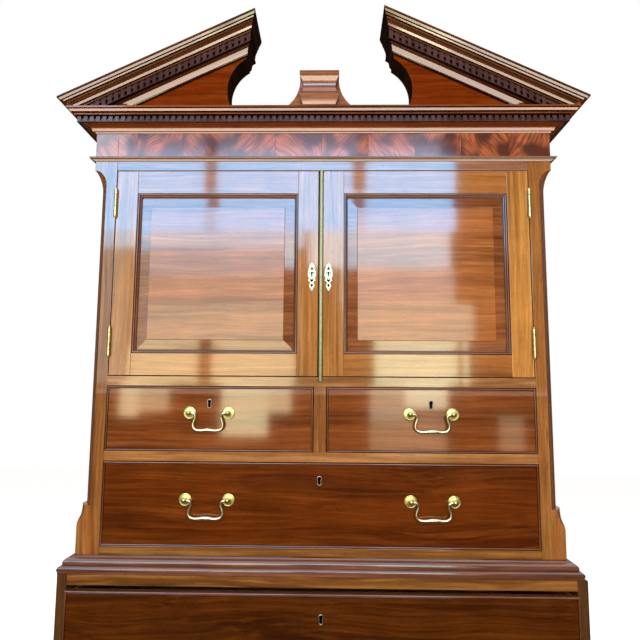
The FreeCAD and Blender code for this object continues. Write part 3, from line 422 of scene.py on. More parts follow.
def shade_undersides(piece, wood, lowest):
    """Gives the flat undersides of a front moulding a near-black wood: painted shade."""
    piece.data.materials.append(wood)
    for flat in piece.data.polygons:
        if flat.normal.z < lowest and abs(flat.normal.y) < 0.09:
            flat.material_index = len(piece.data.materials) - 1


def metres(points, x=0.0, z=0.0, way=1):
    """Points drawn in millimetres, set out from a place; way=-1 mirrors them."""
    return [(x + way * u / 1000, z + v / 1000) for u, v in points]


def raised(points, height, closing):
    """A section given in millimetres, set on a height and closed at its wall."""
    return metres(rounded(points) + [Vector(corner) for corner in closing], 0.0, height)


(base_left, plane_front, _), (base_right, plane_back, _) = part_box("base_sides")
base_middle = (base_left + base_right) / 2
dark_woods = matched("dark level mahogany", "XY", (0.045, 0.012, 0.004), (0.12, 0.034, 0.010),
                     (0.20, 0.07, 0.02))
foot_section = raised([(16, 0), (16, 8), ((8.5, 11.5), (6, 20))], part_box("base_moulding")[0].z,
                      [(-24, 20), (-24, 0)])
foot_pieces = mitred("foot_moulding", foot_section, (base_right - base_left) / 2, plane_front,
                     plane_back, dark_woods, base_middle)
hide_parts("base_moulding")
finished("bracket_feet", dark_woods[0])


# ---- waist moulding -----------------------------------------------------------------------------
# Two rolls and a hollow cover the joint between the stages, mitred round the front and sides.
upper_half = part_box("press_sides")[1].x
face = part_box("corner_posts")[0].y
waist_woods = matched("waist mahogany", "XY", (0.08, 0.020, 0.009), (0.18, 0.052, 0.025),
                      (0.34, 0.13, 0.07), shift=0.3)
waist_section = raised([(28, 0), (28, 4.5), (28.6, 6), ((28.6, 12.5), (24, 16.2)), (22, 17),
                        (20, 17), (20, 19.5), ((18.6, 27.5), (12, 32)), (8, 33), (6, 36.5)],
                       base_top, [(0, 36.5), (0, 0)])
waist = mitred("waist", waist_section, upper_half, face, plane_back, waist_woods)
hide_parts("waist_moulding")


# ---- corner posts -------------------------------------------------------------------------------
# Each post's outer corner has a wide chamfer between a hollow stop at the head and a lamb's tongue
# at the foot. The arrises are eased by hand.
def modified(piece, kind, **settings):
    """Adds a modifier to a piece and applies it."""
    only(piece)
    tool = piece.modifiers.new("tool", kind)
    for name, value in settings.items():
        setattr(tool, name, value)
    bpy.ops.object.modifier_apply(modifier="tool")


def board(name, low, high, ease=0.0007):
    """A board planed to size with its arrises eased."""
    bpy.ops.object.select_all(action="DESELECT")
    low, high = Vector(low), Vector(high)
    bpy.ops.mesh.primitive_cube_add(size=1, location=(low + high) / 2, scale=high - low)
    piece = bpy.context.object
    piece.name = name
    bpy.ops.object.transform_apply(location=True, rotation=True, scale=True)
    modified(piece, "BEVEL", width=ease, segments=2)
    return piece


def cut_away(piece, cutters):
    """Cuts other shapes out of a piece and throws them away."""
    for cutter in cutters:
        modified(piece, "BOOLEAN", operation="DIFFERENCE", object=cutter, solver="EXACT")
        bpy.data.objects.remove(cutter)


post_low, post_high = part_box("corner_posts")
post_wide, rail_gap, gap = 0.057, 0.002, 0.0003
opening = upper_half - post_wide
door_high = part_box("door_left_frame")[1].z + rail_gap
door_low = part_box("door_left_frame")[0].z - rail_gap
long_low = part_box("drawer_long_box")[0].z - gap
stop_low, stop_high = long_low + 0.043, door_high
post_wood = mahogany("corner post mahogany", "Z", (0.18, 0.047, 0.009), (0.34, 0.105, 0.021),
                     (0.46, 0.175, 0.045), 0.5, shift=1.9)
wide, deep = 0.031, 0.058
reach = wide * deep / math.hypot(wide, deep)
lambs_tongue = [(0.0, 0.0), (0.04, 8.0), (0.14, 14.0), (0.30, 19.0), (0.44, 25.0), (0.52, 34.0),
                (0.57, 44.0), (0.58, 50.0), (1.0, 50.0)]
hollow = [(1.0, -40.0)] + [(math.cos(math.radians(a)), 40 * math.sin(math.radians(a)) - 40)
                           for a in range(10, 91, 10)]
for side, label in ((-1, "left"), (1, "right")):
    outer, inner = side * upper_half, side * opening
    post = board(f"corner_post_{label}", (min(outer, inner), face, post_low.z),
                 (max(outer, inner), post_high.y, post_high.z))
    edge = [(-0.3, stop_low)] + [(share, stop_low + z / 1000) for share, z in lambs_tongue]
    edge += [(share, stop_high + z / 1000) for share, z in hollow] + [(-0.3, stop_high)]
    cutter = worked("chamfer", "Y", -0.15, 0.15, [(-side * share * reach, z) for share, z in edge])
    cutter.data.transform(Matrix.Translation((outer, face, 0))
                          @ Matrix.Rotation(-side * math.atan2(wide, deep), 4, "Z"))
    cut_away(post, [cutter])
    placed(post, "case", post_wood, *(["corner_posts"] if side < 0 else []), smooth=30.0)
    for flat in post.data.polygons:
        if flat.area > 0.001:
            flat.use_smooth = False


# ---- upper case ---------------------------------------------------------------------------------
# Side boards with upright grain, and rails of golden mahogany between the drawers and doors. The
# short drawers have an upright divider.
side_wood = mahogany("side board mahogany", "Z", (0.13, 0.036, 0.012), (0.25, 0.078, 0.024),
                     (0.36, 0.14, 0.045), 0.5, shift=2.7)
finished("press_sides", side_wood)
rail_low, rail_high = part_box("press_front_rails")
long_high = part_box("drawer_long_front")[1].z + 0.0015
short_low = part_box("drawer_short_left_box")[0].z - gap
short_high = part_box("drawer_short_left_front")[1].z + 0.0015
head_rail = mahogany("head rail mahogany", "X", (0.17, 0.055, 0.028), (0.30, 0.105, 0.050),
                     (0.42, 0.17, 0.08), 0.5, shift=3.1)
brown_rail = mahogany("brown rail mahogany", "X", (0.20, 0.060, 0.012), (0.38, 0.125, 0.030),
                      (0.52, 0.21, 0.060), 0.6, shift=4.3)
for name, low, high, wood in (("foot_rail", rail_low.z, long_low, golden_rail),
                              ("drawer_rail", long_high, short_low, brown_rail),
                              ("door_rail", short_high, door_low, brown_rail),
                              ("head_rail", door_high, rail_high.z, head_rail)):
    rail = board(name, (-opening, face, low), (opening, rail_high.y, high))
    placed(rail, "case", wood, *(["press_front_rails"] if name == "foot_rail" else []), smooth=0)
half_divider = 0.015
divider = board("drawer_divider", (-half_divider, face, short_low),
                (half_divider, rail_high.y, short_high))
placed(divider, "case", post_wood, smooth=0)


# ---- drawers ------------------------------------------------------------------------------------
# Each front is a solid board with a rounded cockbead let in all round, standing 2 mm proud, and a
# keyhole. The box behind it is plain wood.
def keyhole_outline(x, z, grow=0.0, small=1.0):
    """A keyhole's outline: a round eye over a leg that widens to a round foot."""
    eye, leg, foot = 0.0040 * small + grow, 0.0112 * small, 0.0031 * small + grow
    points = [(x + eye * math.cos(math.radians(a)), z + eye * math.sin(math.radians(a)))
              for a in range(-52, 233, 15)]
    points += [(x + foot * math.cos(math.radians(a)), z - leg + foot * math.sin(math.radians(a)))
               for a in range(-180, 1, 30)]
    return points


def keyhole(x, z, front, depth, small=1.0):
    """A cutter for a keyhole."""
    return worked("keyhole", "Y", front - 0.01, front + depth, keyhole_outline(x, z, 0.0, small))


def four_sided(name, section, low, high, front, woods, body):
    """Four mitred lengths round an opening; the section's points are (inward, behind the front)."""
    for label, axis, edge, way in (("foot", "X", low[1], 1), ("head", "X", high[1], -1),
                                   ("left", "Z", low[0], 1), ("right", "Z", high[0], -1)):
        if axis == "X":
            run = [(front + back, edge + way * inward) for inward, back in section]
            cuts = [((low[0], 0, edge), (-1, 0, way)), ((high[0], 0, edge), (1, 0, way))]
            ends = low[0], high[0]
        else:
            run = [(edge + way * inward, front + back) for inward, back in section]
            cuts = [((edge, 0, low[1]), (way, 0, -1)), ((edge, 0, high[1]), (way, 0, 1))]
            ends = low[1], high[1]
        placed(worked(f"{name}_{label}", axis, *ends, run, cuts), body, woods[axis == "Z"])


cockbead_woods = matched("cockbead mahogany", "XZ", (0.09, 0.022, 0.008), (0.17, 0.045, 0.015),
                         (0.26, 0.08, 0.03), shift=5.1)
short_wood = mahogany("short drawer mahogany", "X", (0.105, 0.020, 0.003), (0.22, 0.045, 0.007),
                      (0.31, 0.085, 0.018), 0.5, shift=6.3)
long_wood = mahogany("long drawer mahogany", "X", (0.054, 0.0080, 0.0010), (0.140, 0.024, 0.002),
                     (0.22, 0.044, 0.005), 0.5, wander=0.07, shift=7.9)
base_wood = mahogany("lower drawer mahogany", "X", (0.029, 0.0045, 0.0006),
                     (0.083, 0.016, 0.0013), (0.145, 0.033, 0.0035), 0.5, wander=0.10, shift=9.4)
cockbead = metres(rounded([(0.0, 20.0), (0.0, -0.4), ((2.0, -2.4), (4.0, -0.4)), (4.0, 20.0)],
                          20.0))
bead_wide, bead_proud, front_thick = 0.0046, 0.002, 0.020
keyholes = {}
for name, wood in {"drawer_short_left": short_wood, "drawer_short_right": short_wood,
                   "drawer_long": long_wood, "base_drawer_top": base_wood,
                   "base_drawer_bottom": base_wood}.items():
    low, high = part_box(f"{name}_front")
    front = low.y + bead_proud
    locks = [vert.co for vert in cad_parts[f"{name}_brass"].data.vertices
             if vert.co.y > front + front_thick - 0.002]
    key_x = (min(corner.x for corner in locks) + max(corner.x for corner in locks)) / 2
    key_z = max(corner.z for corner in locks) - 0.012
    keyholes[name] = (key_x, key_z, front)
    plate = board(f"{name}_board", (low.x + bead_wide, front, low.z + bead_wide),
                  (high.x - bead_wide, front + front_thick, high.z - bead_wide), 0.0004)
    cut_away(plate, [keyhole(key_x, key_z, front, 0.03)])
    placed(plate, name, wood, f"{name}_front", smooth=0)
    four_sided(f"{name}_cockbead", cockbead, (low.x, low.z), (high.x, high.z), front,
               cockbead_woods, name)
    finished(f"{name}_box", pine)


# ---- brass of the drawers -----------------------------------------------------------------------
# Turned rosettes with round-headed posts carry swan-necked bails, each cast with a swollen grip.
# The keyholes have a thin brass liner, and a lock is screwed behind each front.
def brass(name, colour, roughness, worn=0.35):
    """Polished brass, a little browner and duller in patches, and darkened in its corners and
    hollows as painted shade.
    """
    metal, tree, shader = new_finish(name)
    patches = node(tree, "TexNoise", Vector=node(tree, "TexCoord").outputs["Object"], Scale=180.0,
                   Detail=3.0).outputs["Fac"]
    dull = between(tree, patches, 0.45, 0.75, 0.0, worn)
    tone = blend(tree, dull, colour, (colour[0] * 0.55, colour[1] * 0.48, colour[2] * 0.35))
    # painted shade: the colour goes dark in the corners and hollows, as round the rosettes' posts
    corner_shade = node(tree, "AmbientOcclusion", Distance=0.008).outputs["AO"]
    corner_shade_tone = (colour[0] * 0.16, colour[1] * 0.13, colour[2] * 0.12)
    tree.links.new(blend(tree, between(tree, corner_shade, 0.30, 0.85), corner_shade_tone, tone),
                   shader.inputs["Base Color"])
    tree.links.new(between(tree, patches, 0.35, 0.75, roughness, roughness + 0.16),
                   shader.inputs["Roughness"])
    shader.inputs["Metallic"].default_value = 1.0
    return metal


def turned(name, stations, centre, sides=28):
    """A turning on an axis towards the front, spun from (radius, reach) stations."""
    centre = Vector(centre)
    radius, out = stations[0]
    piece = started(name, centre + Vector((radius, -out, 0)))
    for (r0, o0), (r1, o1) in zip(stations, stations[1:]):
        bpy.ops.mesh.extrude_region_move(TRANSFORM_OT_translate={"value": (r1 - r0, o0 - o1, 0)})
    bpy.ops.mesh.select_all(action="SELECT")
    bpy.ops.mesh.spin(steps=sides, angle=2 * math.pi, center=centre, axis=(0, 1, 0))
    bpy.ops.mesh.select_all(action="SELECT")
    bpy.ops.mesh.remove_doubles(threshold=1e-6)
    return sawn(piece, ())


def joined(name, pieces):
    """Several meshes made one."""
    only(pieces[0])
    for piece in pieces:
        piece.select_set(True)
    if len(pieces) > 1:
        bpy.ops.object.join()
    pieces[0].name = name
    return pieces[0]


def cast(name, points, closed=False):
    """A round bar along points, each (place, radius), drawn as a curve and made a mesh."""
    curve = bpy.data.curves.new(name, "CURVE")
    curve.dimensions = "3D"
    curve.bevel_depth = 1.0
    curve.bevel_resolution = 3
    curve.resolution_u = 6
    curve.use_fill_caps = True
    spline = curve.splines.new("NURBS")
    spline.points.add(len(points) - 1)
    for point, (place, radius) in zip(spline.points, points):
        point.co = (*place, 1)
        point.radius = radius
    spline.order_u = 3
    spline.use_endpoint_u = not closed
    spline.use_cyclic_u = closed
    piece = bpy.data.objects.new(name, curve)
    bpy.context.scene.collection.objects.link(piece)
    only(piece)
    bpy.ops.object.convert(target="MESH")
    return bpy.context.object


yellow_brass = brass("brass of the rosettes", (0.84, 0.72, 0.26), 0.32)
pale_brass = brass("brass of the bails", (0.90, 0.80, 0.48), 0.26, 0.12)
liner_brass = brass("brass of the keyhole liners", (0.62, 0.52, 0.40), 0.35)
lock_iron = brass("iron of the locks", (0.022, 0.018, 0.015), 0.55)
rosette = [(0.0, 0.0), (0.0150, 0.0), (0.0150, 0.0012), (0.0146, 0.0022), (0.0136, 0.0025),
           (0.0128, 0.0021), (0.0120, 0.0022), (0.0085, 0.0026), (0.0062, 0.0030),
           (0.0052, 0.0042), (0.0038, 0.0062), (0.0031, 0.0086), (0.0033, 0.0098),
           (0.0042, 0.0106), (0.0050, 0.0124), (0.0054, 0.0150), (0.0050, 0.0174),
           (0.0036, 0.0192), (0.0018, 0.0200), (0.0, 0.0202)]
neck = [(0.5, 0.0, 1.6), (4.4, 0.0, 1.7), (5.4, 0.0, 3.3), (8.4, -0.3, 3.6), (12.4, -1.4, 3.4),
        (15.8, -5.0, 3.0), (16.2, -10.5, 2.7), (14.2, -17.0, 2.7), (11.8, -22.5, 2.8),
        (10.8, -29.0, 3.0), (12.8, -36.0, 3.3), (18.5, -40.4, 3.6), (26.0, -41.6, 3.8),
        (34.0, -41.6, 4.0), (38.5, -41.2, 4.5), (43.5, -40.6, 5.0)]
bails = {"drawer_short_left": [""], "drawer_short_right": [""], "drawer_long": ["_left", "_right"],
         "base_drawer_top": ["_left", "_right"], "base_drawer_bottom": ["_left", "_right"]}
pivot_reach, post_half, narrow_half = 0.015, 0.0515, 0.047
for drawer, labels in bails.items():
    key_x, key_z, front = keyholes[drawer]
    half = narrow_half if drawer == "drawer_short_left" else post_half
    posts = []
    for label in labels:
        bail = f"{drawer}_bail{label}"
        low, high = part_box(bail)
        x, y, z = (low.x + high.x) / 2, front - pivot_reach, high.z - 0.0015
        path = [((x - half + along / 1000, y, z + fall / 1000), thick / 1000)
                for along, fall, thick in neck if along < half * 1000 - 3]
        path += [((x, y, z - 0.0404), 0.0052)]
        path += [((2 * x - place[0], *place[1:]), thick) for place, thick in reversed(path[:-1])]
        placed(cast(f"{bail}_grip", path), bail, pale_brass, bail, smooth=40.0)
        posts += [turned("post", rosette, (x + side * half, front, z)) for side in (-1, 1)]
    liner = [((px, front - 0.0004, pz), 0.0011) for px, pz in keyhole_outline(key_x, key_z, 0.0012)]
    placed(cast(f"{drawer}_key_liner", liner, True), drawer, liner_brass, smooth=40.0)
    lock = board(f"{drawer}_lock", (key_x - 0.026, front + front_thick, key_z - 0.026),
                 (key_x + 0.026, front + 0.029, key_z + 0.012))
    placed(lock, drawer, lock_iron)
    placed(joined(f"{drawer}_metal", posts), drawer, yellow_brass, f"{drawer}_brass", smooth=40.0)


# ---- linen trays --------------------------------------------------------------------------------
# Four sliding trays of plain wood, their fronts dipped so that the linen can be seen.
tray_wood = mahogany("plain tray wood", "XY", (0.32, 0.18, 0.09), (0.44, 0.27, 0.14),
                     (0.55, 0.36, 0.20), 0.5, coat=0.2, shift=11.0)
for i in range(4):
    finished(f"linen_tray_{i + 1}", tray_wood)


# ---- doors --------------------------------------------------------------------------------------
# Stiles and rails framed together, a run moulding mitred round inside them, and a raised and
# fielded panel with level grain behind it. The escutcheons are pierced brass.
stile_wood = mahogany("stile mahogany", "Z", (0.33, 0.095, 0.015), (0.57, 0.195, 0.034),
                      (0.70, 0.29, 0.070), 0.55, shift=13.0)
meeting_wood = mahogany("meeting stile mahogany", "Z", (0.22, 0.060, 0.010), (0.40, 0.125, 0.022),
                        (0.52, 0.20, 0.050), 0.55, shift=13.9)
door_rail_wood = mahogany("door rail mahogany", "X", (0.20, 0.050, 0.008), (0.37, 0.105, 0.018),
                          (0.50, 0.18, 0.042), 0.55, shift=14.6)
panel_wood = mahogany("panel mahogany", "X", (0.22, 0.050, 0.008), (0.40, 0.105, 0.020),
                      (0.54, 0.18, 0.045), 0.5, wander=0.05, shift=16.2)
# The bevels take a darker copy of the panel's wood, painted shade, so that the field's edge shows.
shaded_bevel_wood = mahogany("panel bevel mahogany darkened as painted shade", "X", (0.14, 0.030, 0.006), (0.27, 0.070, 0.016),
                      (0.36, 0.12, 0.035), 0.5, wander=0.05, shift=16.2)
inner_woods = matched("inner moulding mahogany", "XZ", (0.12, 0.030, 0.012),
                      (0.22, 0.062, 0.024), (0.32, 0.11, 0.045), shift=17.5)
inner_section = metres(rounded(
    [(0, 0.4), (0.4, 0.4), (0.4, 3.6), (2.4, 3.6), (2.4, 0.9), ((4.4, 1.2), (5.2, 3.0)), (5.2, 5.8),
     (7.0, 5.8), (7.0, 4.0), ((8.4, 4.8), (9.2, 7.4)), (9.2, 10.5), (11, 10.5), (11, 13), (0, 13)],
    15.0))
cream_brass = brass("brass of the escutcheons", (0.50, 0.47, 0.32), 0.40, 0.3)
polish_and_shade_bed = mahogany("polish and painted shade behind the escutcheons", "Z", (0.012, 0.010, 0.007),
                       (0.020, 0.015, 0.010), (0.03, 0.02, 0.013), 0.3, coat=0.0)
half_plate = [(0, 36.5), (1.2, 33.6), (2.6, 32.2), (4.9, 29.6), (7.6, 25.6), (5.4, 23.4),
              (5.8, 21.8), (8.4, 19.0), (9.4, 12.5), (10.1, 10.4), (9.4, 8.0), (10.2, 4.0),
              (9.4, 0.0), (8.4, -2.4), (6.4, -5.2), (8.0, -7.2), (10.1, -10.2), (6.4, -11.6),
              (5.0, -13.6), (3.6, -16.2), (5.6, -18.8), (6.8, -22.6), (6.2, -25.6), (4.2, -28.8),
              (2.6, -32.4), (1.6, -34.0), (0, -36.5)]
piercings = [[(-4.2, 16.8), (4.2, 16.8), (0, 26.0)],
             [(-6.9, 9.0), (-4.2, 12.6), (-4.6, 5.4)], [(6.9, 9.0), (4.6, 5.4), (4.2, 12.6)],
             [(0, -14.6), (4.8, -9.4), (3.4, -5.6), (0, -8.0), (-3.4, -5.6), (-4.8, -9.4)],
             [(0, -17.2), (3.4, -22.2), (0, -27.4), (-3.4, -22.2)]]
stile, meeting_stile, foot_rail, head_rail, thick = 0.055, 0.057, 0.056, 0.060, 0.024
low, high = door_low + rail_gap, door_high - rail_gap
panel_low, panel_high = low + foot_rail - rail_gap, high - head_rail + rail_gap
for door, side, inner_edge in (("door_left", -1, -0.0065), ("door_right", 1, -0.0045)):
    outer_edge = side * (opening - rail_gap)
    outside, inside = side * (opening - stile), side * meeting_stile
    left, right = min(outside, inside), max(outside, inside)
    plate_low, plate_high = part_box(f"{door}_escutcheon")
    key_x, key_z = (plate_low.x + plate_high.x) / 2, (plate_low.z + plate_high.z) / 2
    hung = board(f"{door}_hanging_stile", (min(outer_edge, outside), face, low),
                 (max(outer_edge, outside), face + thick, high))
    placed(hung, door, meeting_wood if side < 0 else stile_wood, f"{door}_frame", smooth=0)
    meeting = board(f"{door}_meeting_stile", (min(inner_edge, inside), face, low),
                    (max(inner_edge, inside), face + thick, high))
    small_key = (key_x, key_z + 0.010, face)
    cut_away(meeting, [keyhole(*small_key, 0.03, 0.66)])
    placed(meeting, door, meeting_wood, smooth=0)
    for label, foot, head in (("foot_rail", low, panel_low), ("head_rail", panel_high, high)):
        rail = board(f"{door}_{label}", (left, face, foot), (right, face + thick, head))
        placed(rail, door, door_rail_wood, smooth=0)
    four_sided(f"{door}_inner_moulding", inner_section, (left, panel_low), (right, panel_high),
               face, inner_woods, door)

    # the panel: a slab whose front is inset and pushed forward to leave its bevels
    bpy.ops.object.select_all(action="DESELECT")
    span = Vector((right - left - 0.018, 0.009, panel_high - panel_low - 0.018))
    bpy.ops.mesh.primitive_cube_add(size=1, location=((left + right) / 2, face + 0.0148,
                                                      (panel_low + panel_high) / 2), scale=span)
    panel = bpy.context.object
    panel.name = f"{door}_fielded_panel"
    bpy.ops.object.transform_apply(location=True, rotation=True, scale=True)
    bpy.ops.object.mode_set(mode="EDIT")
    bpy.ops.mesh.select_all(action="DESELECT")
    mesh = bmesh.from_edit_mesh(panel.data)
    for flat in mesh.faces:
        if flat.normal.y < -0.9:
            flat.select_set(True)
    bmesh.update_edit_mesh(panel.data)
    bpy.ops.mesh.inset(thickness=0.0255, depth=0.0)
    bpy.ops.transform.translate(value=(0, -0.0010, 0))
    bpy.ops.mesh.extrude_region_move(TRANSFORM_OT_translate={"value": (0, -0.0024, 0)})
    bpy.ops.object.mode_set(mode="OBJECT")
    modified(panel, "BEVEL", width=0.0005, segments=2, limit_method="ANGLE")
    placed(panel, door, panel_wood, f"{door}_panel", smooth=0)
    # the sloping bevel faces take the darker copy: painted shade
    panel.data.materials.append(shaded_bevel_wood)
    for flat in panel.data.polygons:
        if flat.normal.y < -0.9 and 0.01 < abs(flat.normal.x) + abs(flat.normal.z) < 0.3:
            flat.material_index = 1

    # the escutcheon on a near-black bed: polish and painted shade in the piercings, a painted
    # shadow round it
    outline = metres(half_plate, key_x, key_z)
    outline += [(2 * key_x - u, v) for u, v in reversed(outline[1:-1])]
    plate = worked(f"{door}_key_plate", "Y", face - 0.0012, face, outline)
    cut_away(plate, [keyhole(*small_key, 0.01, 0.66)]
             + [worked("hole", "Y", face - 0.01, face + 0.01, metres(shape, key_x, key_z))
                for shape in piercings])
    modified(plate, "BEVEL", width=0.0003, segments=1, limit_method="ANGLE")
    placed(plate, door, cream_brass, f"{door}_escutcheon", smooth=0)
    # the bed is a little larger than the plate, so a dark rim shows round it: a painted shadow
    backing = [(key_x + (u - key_x) * 1.07, key_z + (v - key_z) * 1.02) for u, v in outline]
    backing = worked(f"{door}_key_plate_bed", "Y", face - 0.0002, face, backing)
    cut_away(backing, [keyhole(*small_key, 0.01, 0.66)])
    placed(backing, door, polish_and_shade_bed, smooth=0)

# the strip that closes the joint between the doors
strip_low, strip_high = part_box("door_right_strip")
strip_wide = strip_high.x - strip_low.x
strip_arc = [(strip_wide * u, -q / 1000) for u, q in
             ((0, 0), (0.01, 1.4), (0.06, 2.4), (0.15, 3.2), (0.28, 3.8), (0.42, 4.0), (0.58, 4.0),
              (0.72, 3.8), (0.85, 3.2), (0.94, 2.4), (0.99, 1.4), (1, 0))]
strip = worked("meeting_strip", "Z", strip_low.z, strip_high.z,
               [(strip_low.x + u, face + v) for u, v in strip_arc])
strip_brass = brass("brass of the strip", (0.30, 0.27, 0.14), 0.48, 0.25)
placed(strip, "door_right", strip_brass, "door_right_strip", smooth=30.0)
for hardware in ("door_left_bolts", "door_right_lock"):
    finished(hardware, yellow_brass)


# ---- hinges -------------------------------------------------------------------------------------
# Brass butt hinges with five knuckles. Three knuckles, the pin and its acorn finials stay on the
# post; two knuckles turn with the door.
def upright_turned(name, stations, x, y):
    """A turning on an upright axis, from (radius, height) stations."""
    piece = turned(name, [(r, 0.0 - z) for r, z in stations], (0, 0, 0), 20)
    piece.data.transform(Matrix.Translation((x, y, 0)) @ Matrix.Rotation(math.pi / 2, 4, "X"))
    return piece


hinge_brass = brass("brass of the hinges", (0.74, 0.60, 0.26), 0.32)
still = []
knuckle_high, hinge_high, leaf_thick, leaf_deep, slack = 0.014, 0.070, 0.0008, 0.022, 0.0003
acorn = [(0.0, -0.0003), (0.0034, 0.0), (0.0036, 0.0008), (0.0024, 0.0014), (0.0027, 0.0022),
         (0.0024, 0.0032), (0.0013, 0.0041), (0.0, 0.0045)]
for side, door in ((-1, "door_left"), (1, "door_right")):
    x, y = side * (opening - 0.001), face - 0.0044
    swinging = []
    for foot in (door_low + 0.0495, door_high - 0.0519 - hinge_high):
        for i in range(5):
            low, high = foot + knuckle_high * i + slack, foot + knuckle_high * (i + 1) - slack
            knuckle = [(0, low), (0.0037, low), (0.0042, low + 0.0005), (0.0042, high - 0.0005),
                       (0.0037, high), (0, high)]
            (swinging if i % 2 else still).append(upright_turned("knuckle", knuckle, x, y))
        for end, way in ((foot, -1), (foot + hinge_high, 1)):
            still.append(upright_turned("acorn", [(r, end + way * z) for r, z in acorn], x, y))
        for edge, way, leaves in ((side * opening, -side, still),
                                  (side * (opening - rail_gap), side, swinging)):
            far_edge = edge + way * leaf_thick
            leaves.append(board("leaf", (min(edge, far_edge), face - leaf_thick, foot),
                                (max(edge, far_edge), face + leaf_deep, foot + hinge_high), 0.0002))
    placed(joined(f"{door}_turning_knuckles", swinging), door, hinge_brass, f"{door}_hinge_leaves",
           smooth=40.0)
placed(joined("fixed_knuckles", still), "case", hinge_brass, "hinge_fixed_halves", smooth=40.0)


# ---- frieze and its bead ------------------------------------------------------------------------
# The frieze is veneered with leaves of flame mahogany set side by side, and a bead runs below it.
# The veneer runs up behind the cornice, and stands a little proud of the frame there.
flame, tree, shader = new_finish("flame veneer")
here = node(tree, "SeparateXYZ", Vector=node(tree, "TexCoord").outputs["Object"]).outputs
leaf_wide = 0.118
leaf = maths(tree, "MULTIPLY", here["X"], 1 / leaf_wide)
across = maths(tree, "MULTIPLY", maths(tree, "PINGPONG", leaf, 1.0), leaf_wide)
other_leaf = maths(tree, "MULTIPLY", maths(tree, "FLOOR", leaf), 0.31)
plume = node(tree, "CombineXYZ", X=across, Y=here["Z"], Z=other_leaf).outputs[0]
curl = node(tree, "TexNoise", Vector=plume, Scale=14.0, Detail=1.0)
sweep = node(tree, "VectorMath", {"operation": "MULTIPLY_ADD"}, _0=curl.outputs["Color"],
             _1=(0.052, 0.020, 0.0), _2=plume)
turned_up = node(tree, "Mapping", Vector=sweep.outputs[0], Rotation=(0, 0, -0.95))
feather = stretched(tree, turned_up.outputs[0], (22, 230, 1), 3.0)["Fac"]
glow = node(tree, "TexNoise", Vector=plume, Scale=17.0, Detail=1.0).outputs["Fac"]
lit = maths(tree, "MULTIPLY", between(tree, feather, 0.26, 0.66, 0.15, 1.0),
            between(tree, glow, 0.36, 0.62, 0.05, 1.0))
veneer = blend(tree, lit, (0.085, 0.022, 0.012), (0.52, 0.11, 0.032))
seam = node(tree, "Math", {"operation": "COMPARE"}, _0=maths(tree, "FRACT", leaf), _1=0.0, _2=0.008)
tree.links.new(blend(tree, seam.outputs[0], veneer, (0.03, 0.010, 0.006)),
               shader.inputs["Base Color"])
for socket, value in (("Roughness", 0.3), ("Specular IOR Level", 0.0), ("Coat Weight", 1.0),
                      ("Coat Roughness", 0.08), ("Coat IOR", 1.65)):
    shader.inputs[socket].default_value = value
frieze_low, frieze_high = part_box("frieze")
for name, left, right in (("frieze_board", -opening, opening),
                          ("frieze_left_block", -upper_half, -opening - 0.0004),
                          ("frieze_right_block", opening + 0.0004, upper_half)):
    veneered = board(name, (left, face - 0.0004, frieze_low.z),
                     (right, frieze_high.y, frieze_high.z + 0.0132), 0.0004)
    placed(veneered, "case", flame, *(["frieze"] if name == "frieze_board" else []), smooth=0)

bead_section = raised([(2.5, 0.3), (3.4, 2.4), (5.6, 2.6), (6.2, 4.2), (9.6, 4.5),
                       ((12.4, 6.6), (9.4, 9.8)), (6.5, 10.4), (6.5, 11)], frieze_low.z - 0.011,
                      [(0, 11), (0, 0.1)])
bead_woods = matched("bead mahogany", "XY", (0.12, 0.040, 0.013), (0.24, 0.085, 0.028),
                     (0.36, 0.15, 0.05), shift=19.0)
bead = mitred("frieze_bead", bead_section, upper_half, face, plane_back, bead_woods)
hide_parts("cornice_mouldings")


# ---- level cornice ------------------------------------------------------------------------------
# A small fillet, a cove, a band for the dentils and a corona, worked in one length and mitred. On
# the two sides the crown moulding is carried back as well.
level_low = frieze_high.z
cornice_woods = matched("cornice mahogany", "XY", (0.14, 0.025, 0.005), (0.27, 0.054, 0.009),
                        (0.36, 0.09, 0.020), shift=21.0)
# A near-black, unpolished wood for undersides, inner returns and hollow ends: painted shade.
shaded_wood = mahogany("near-black mahogany as painted shade", "Y", (0.008, 0.004, 0.003),
                       (0.020, 0.009, 0.006), (0.03, 0.014, 0.009), coat=0.0)
level_section = raised([(0.3, 0), (0.3, 12.5), (2.2, 12.6), (3.6, 15.6), (8.2, 15.8), (9.7, 19.6),
                        (11.4, 23.6), (13, 25.6), (17, 27.2), (28, 28.4), (28, 44.6),
                        (43.5, 45), (43.5, 49.5), (51, 49.7), (53.6, 54.8), (53.6, 55.9),
                        (58.6, 56.1), (58.6, 60.5)], level_low, [(0, 60.5), (0, 0)])
level_cornice = mitred("level_cornice", level_section, upper_half, face, plane_back, cornice_woods)
# the level cornice's flat undersides take the painted shade
shade_undersides(level_cornice[0], shaded_wood, -0.9965)
level_top = level_low + 0.0605
crown_tip = level_top + 0.0165
slope, crown_reach = 0.476, 0.075
crown = [(75, 0), (75, -3.8), (71.5, -4.1), (69.2, -9.2), (64, -9.5), (62.4, -13), (57, -13.3),
         (57, -18.2)]
side_crown = [(p, crown_tip + drop + slope * (crown_reach - p)) for p, drop in metres(crown)]
side_crown += [(0.0586, level_top), (0.0, level_top), (0.0, crown_tip + slope * crown_reach)]
mitred("side_crown", side_crown, upper_half, face, plane_back, cornice_woods, fronted=False)
dentil_wood = mahogany("dentil mahogany", "Z", (0.045, 0.016, 0.013), (0.085, 0.032, 0.026),
                       (0.12, 0.05, 0.04), shift=23.0, coat=1.35)
finished("dentils", dentil_wood)
for name, low, high, out in (("dentil_link", 31.5, 37.5, 33.5),
                             ("dentil_fillet", 28.6, 30.4, 38.2)):
    bar = raised([(27, low), (out, low), (out, high)], level_low, [(27, high)])
    mitred(name, bar, upper_half, face, plane_back, (dentil_wood, dentil_wood))


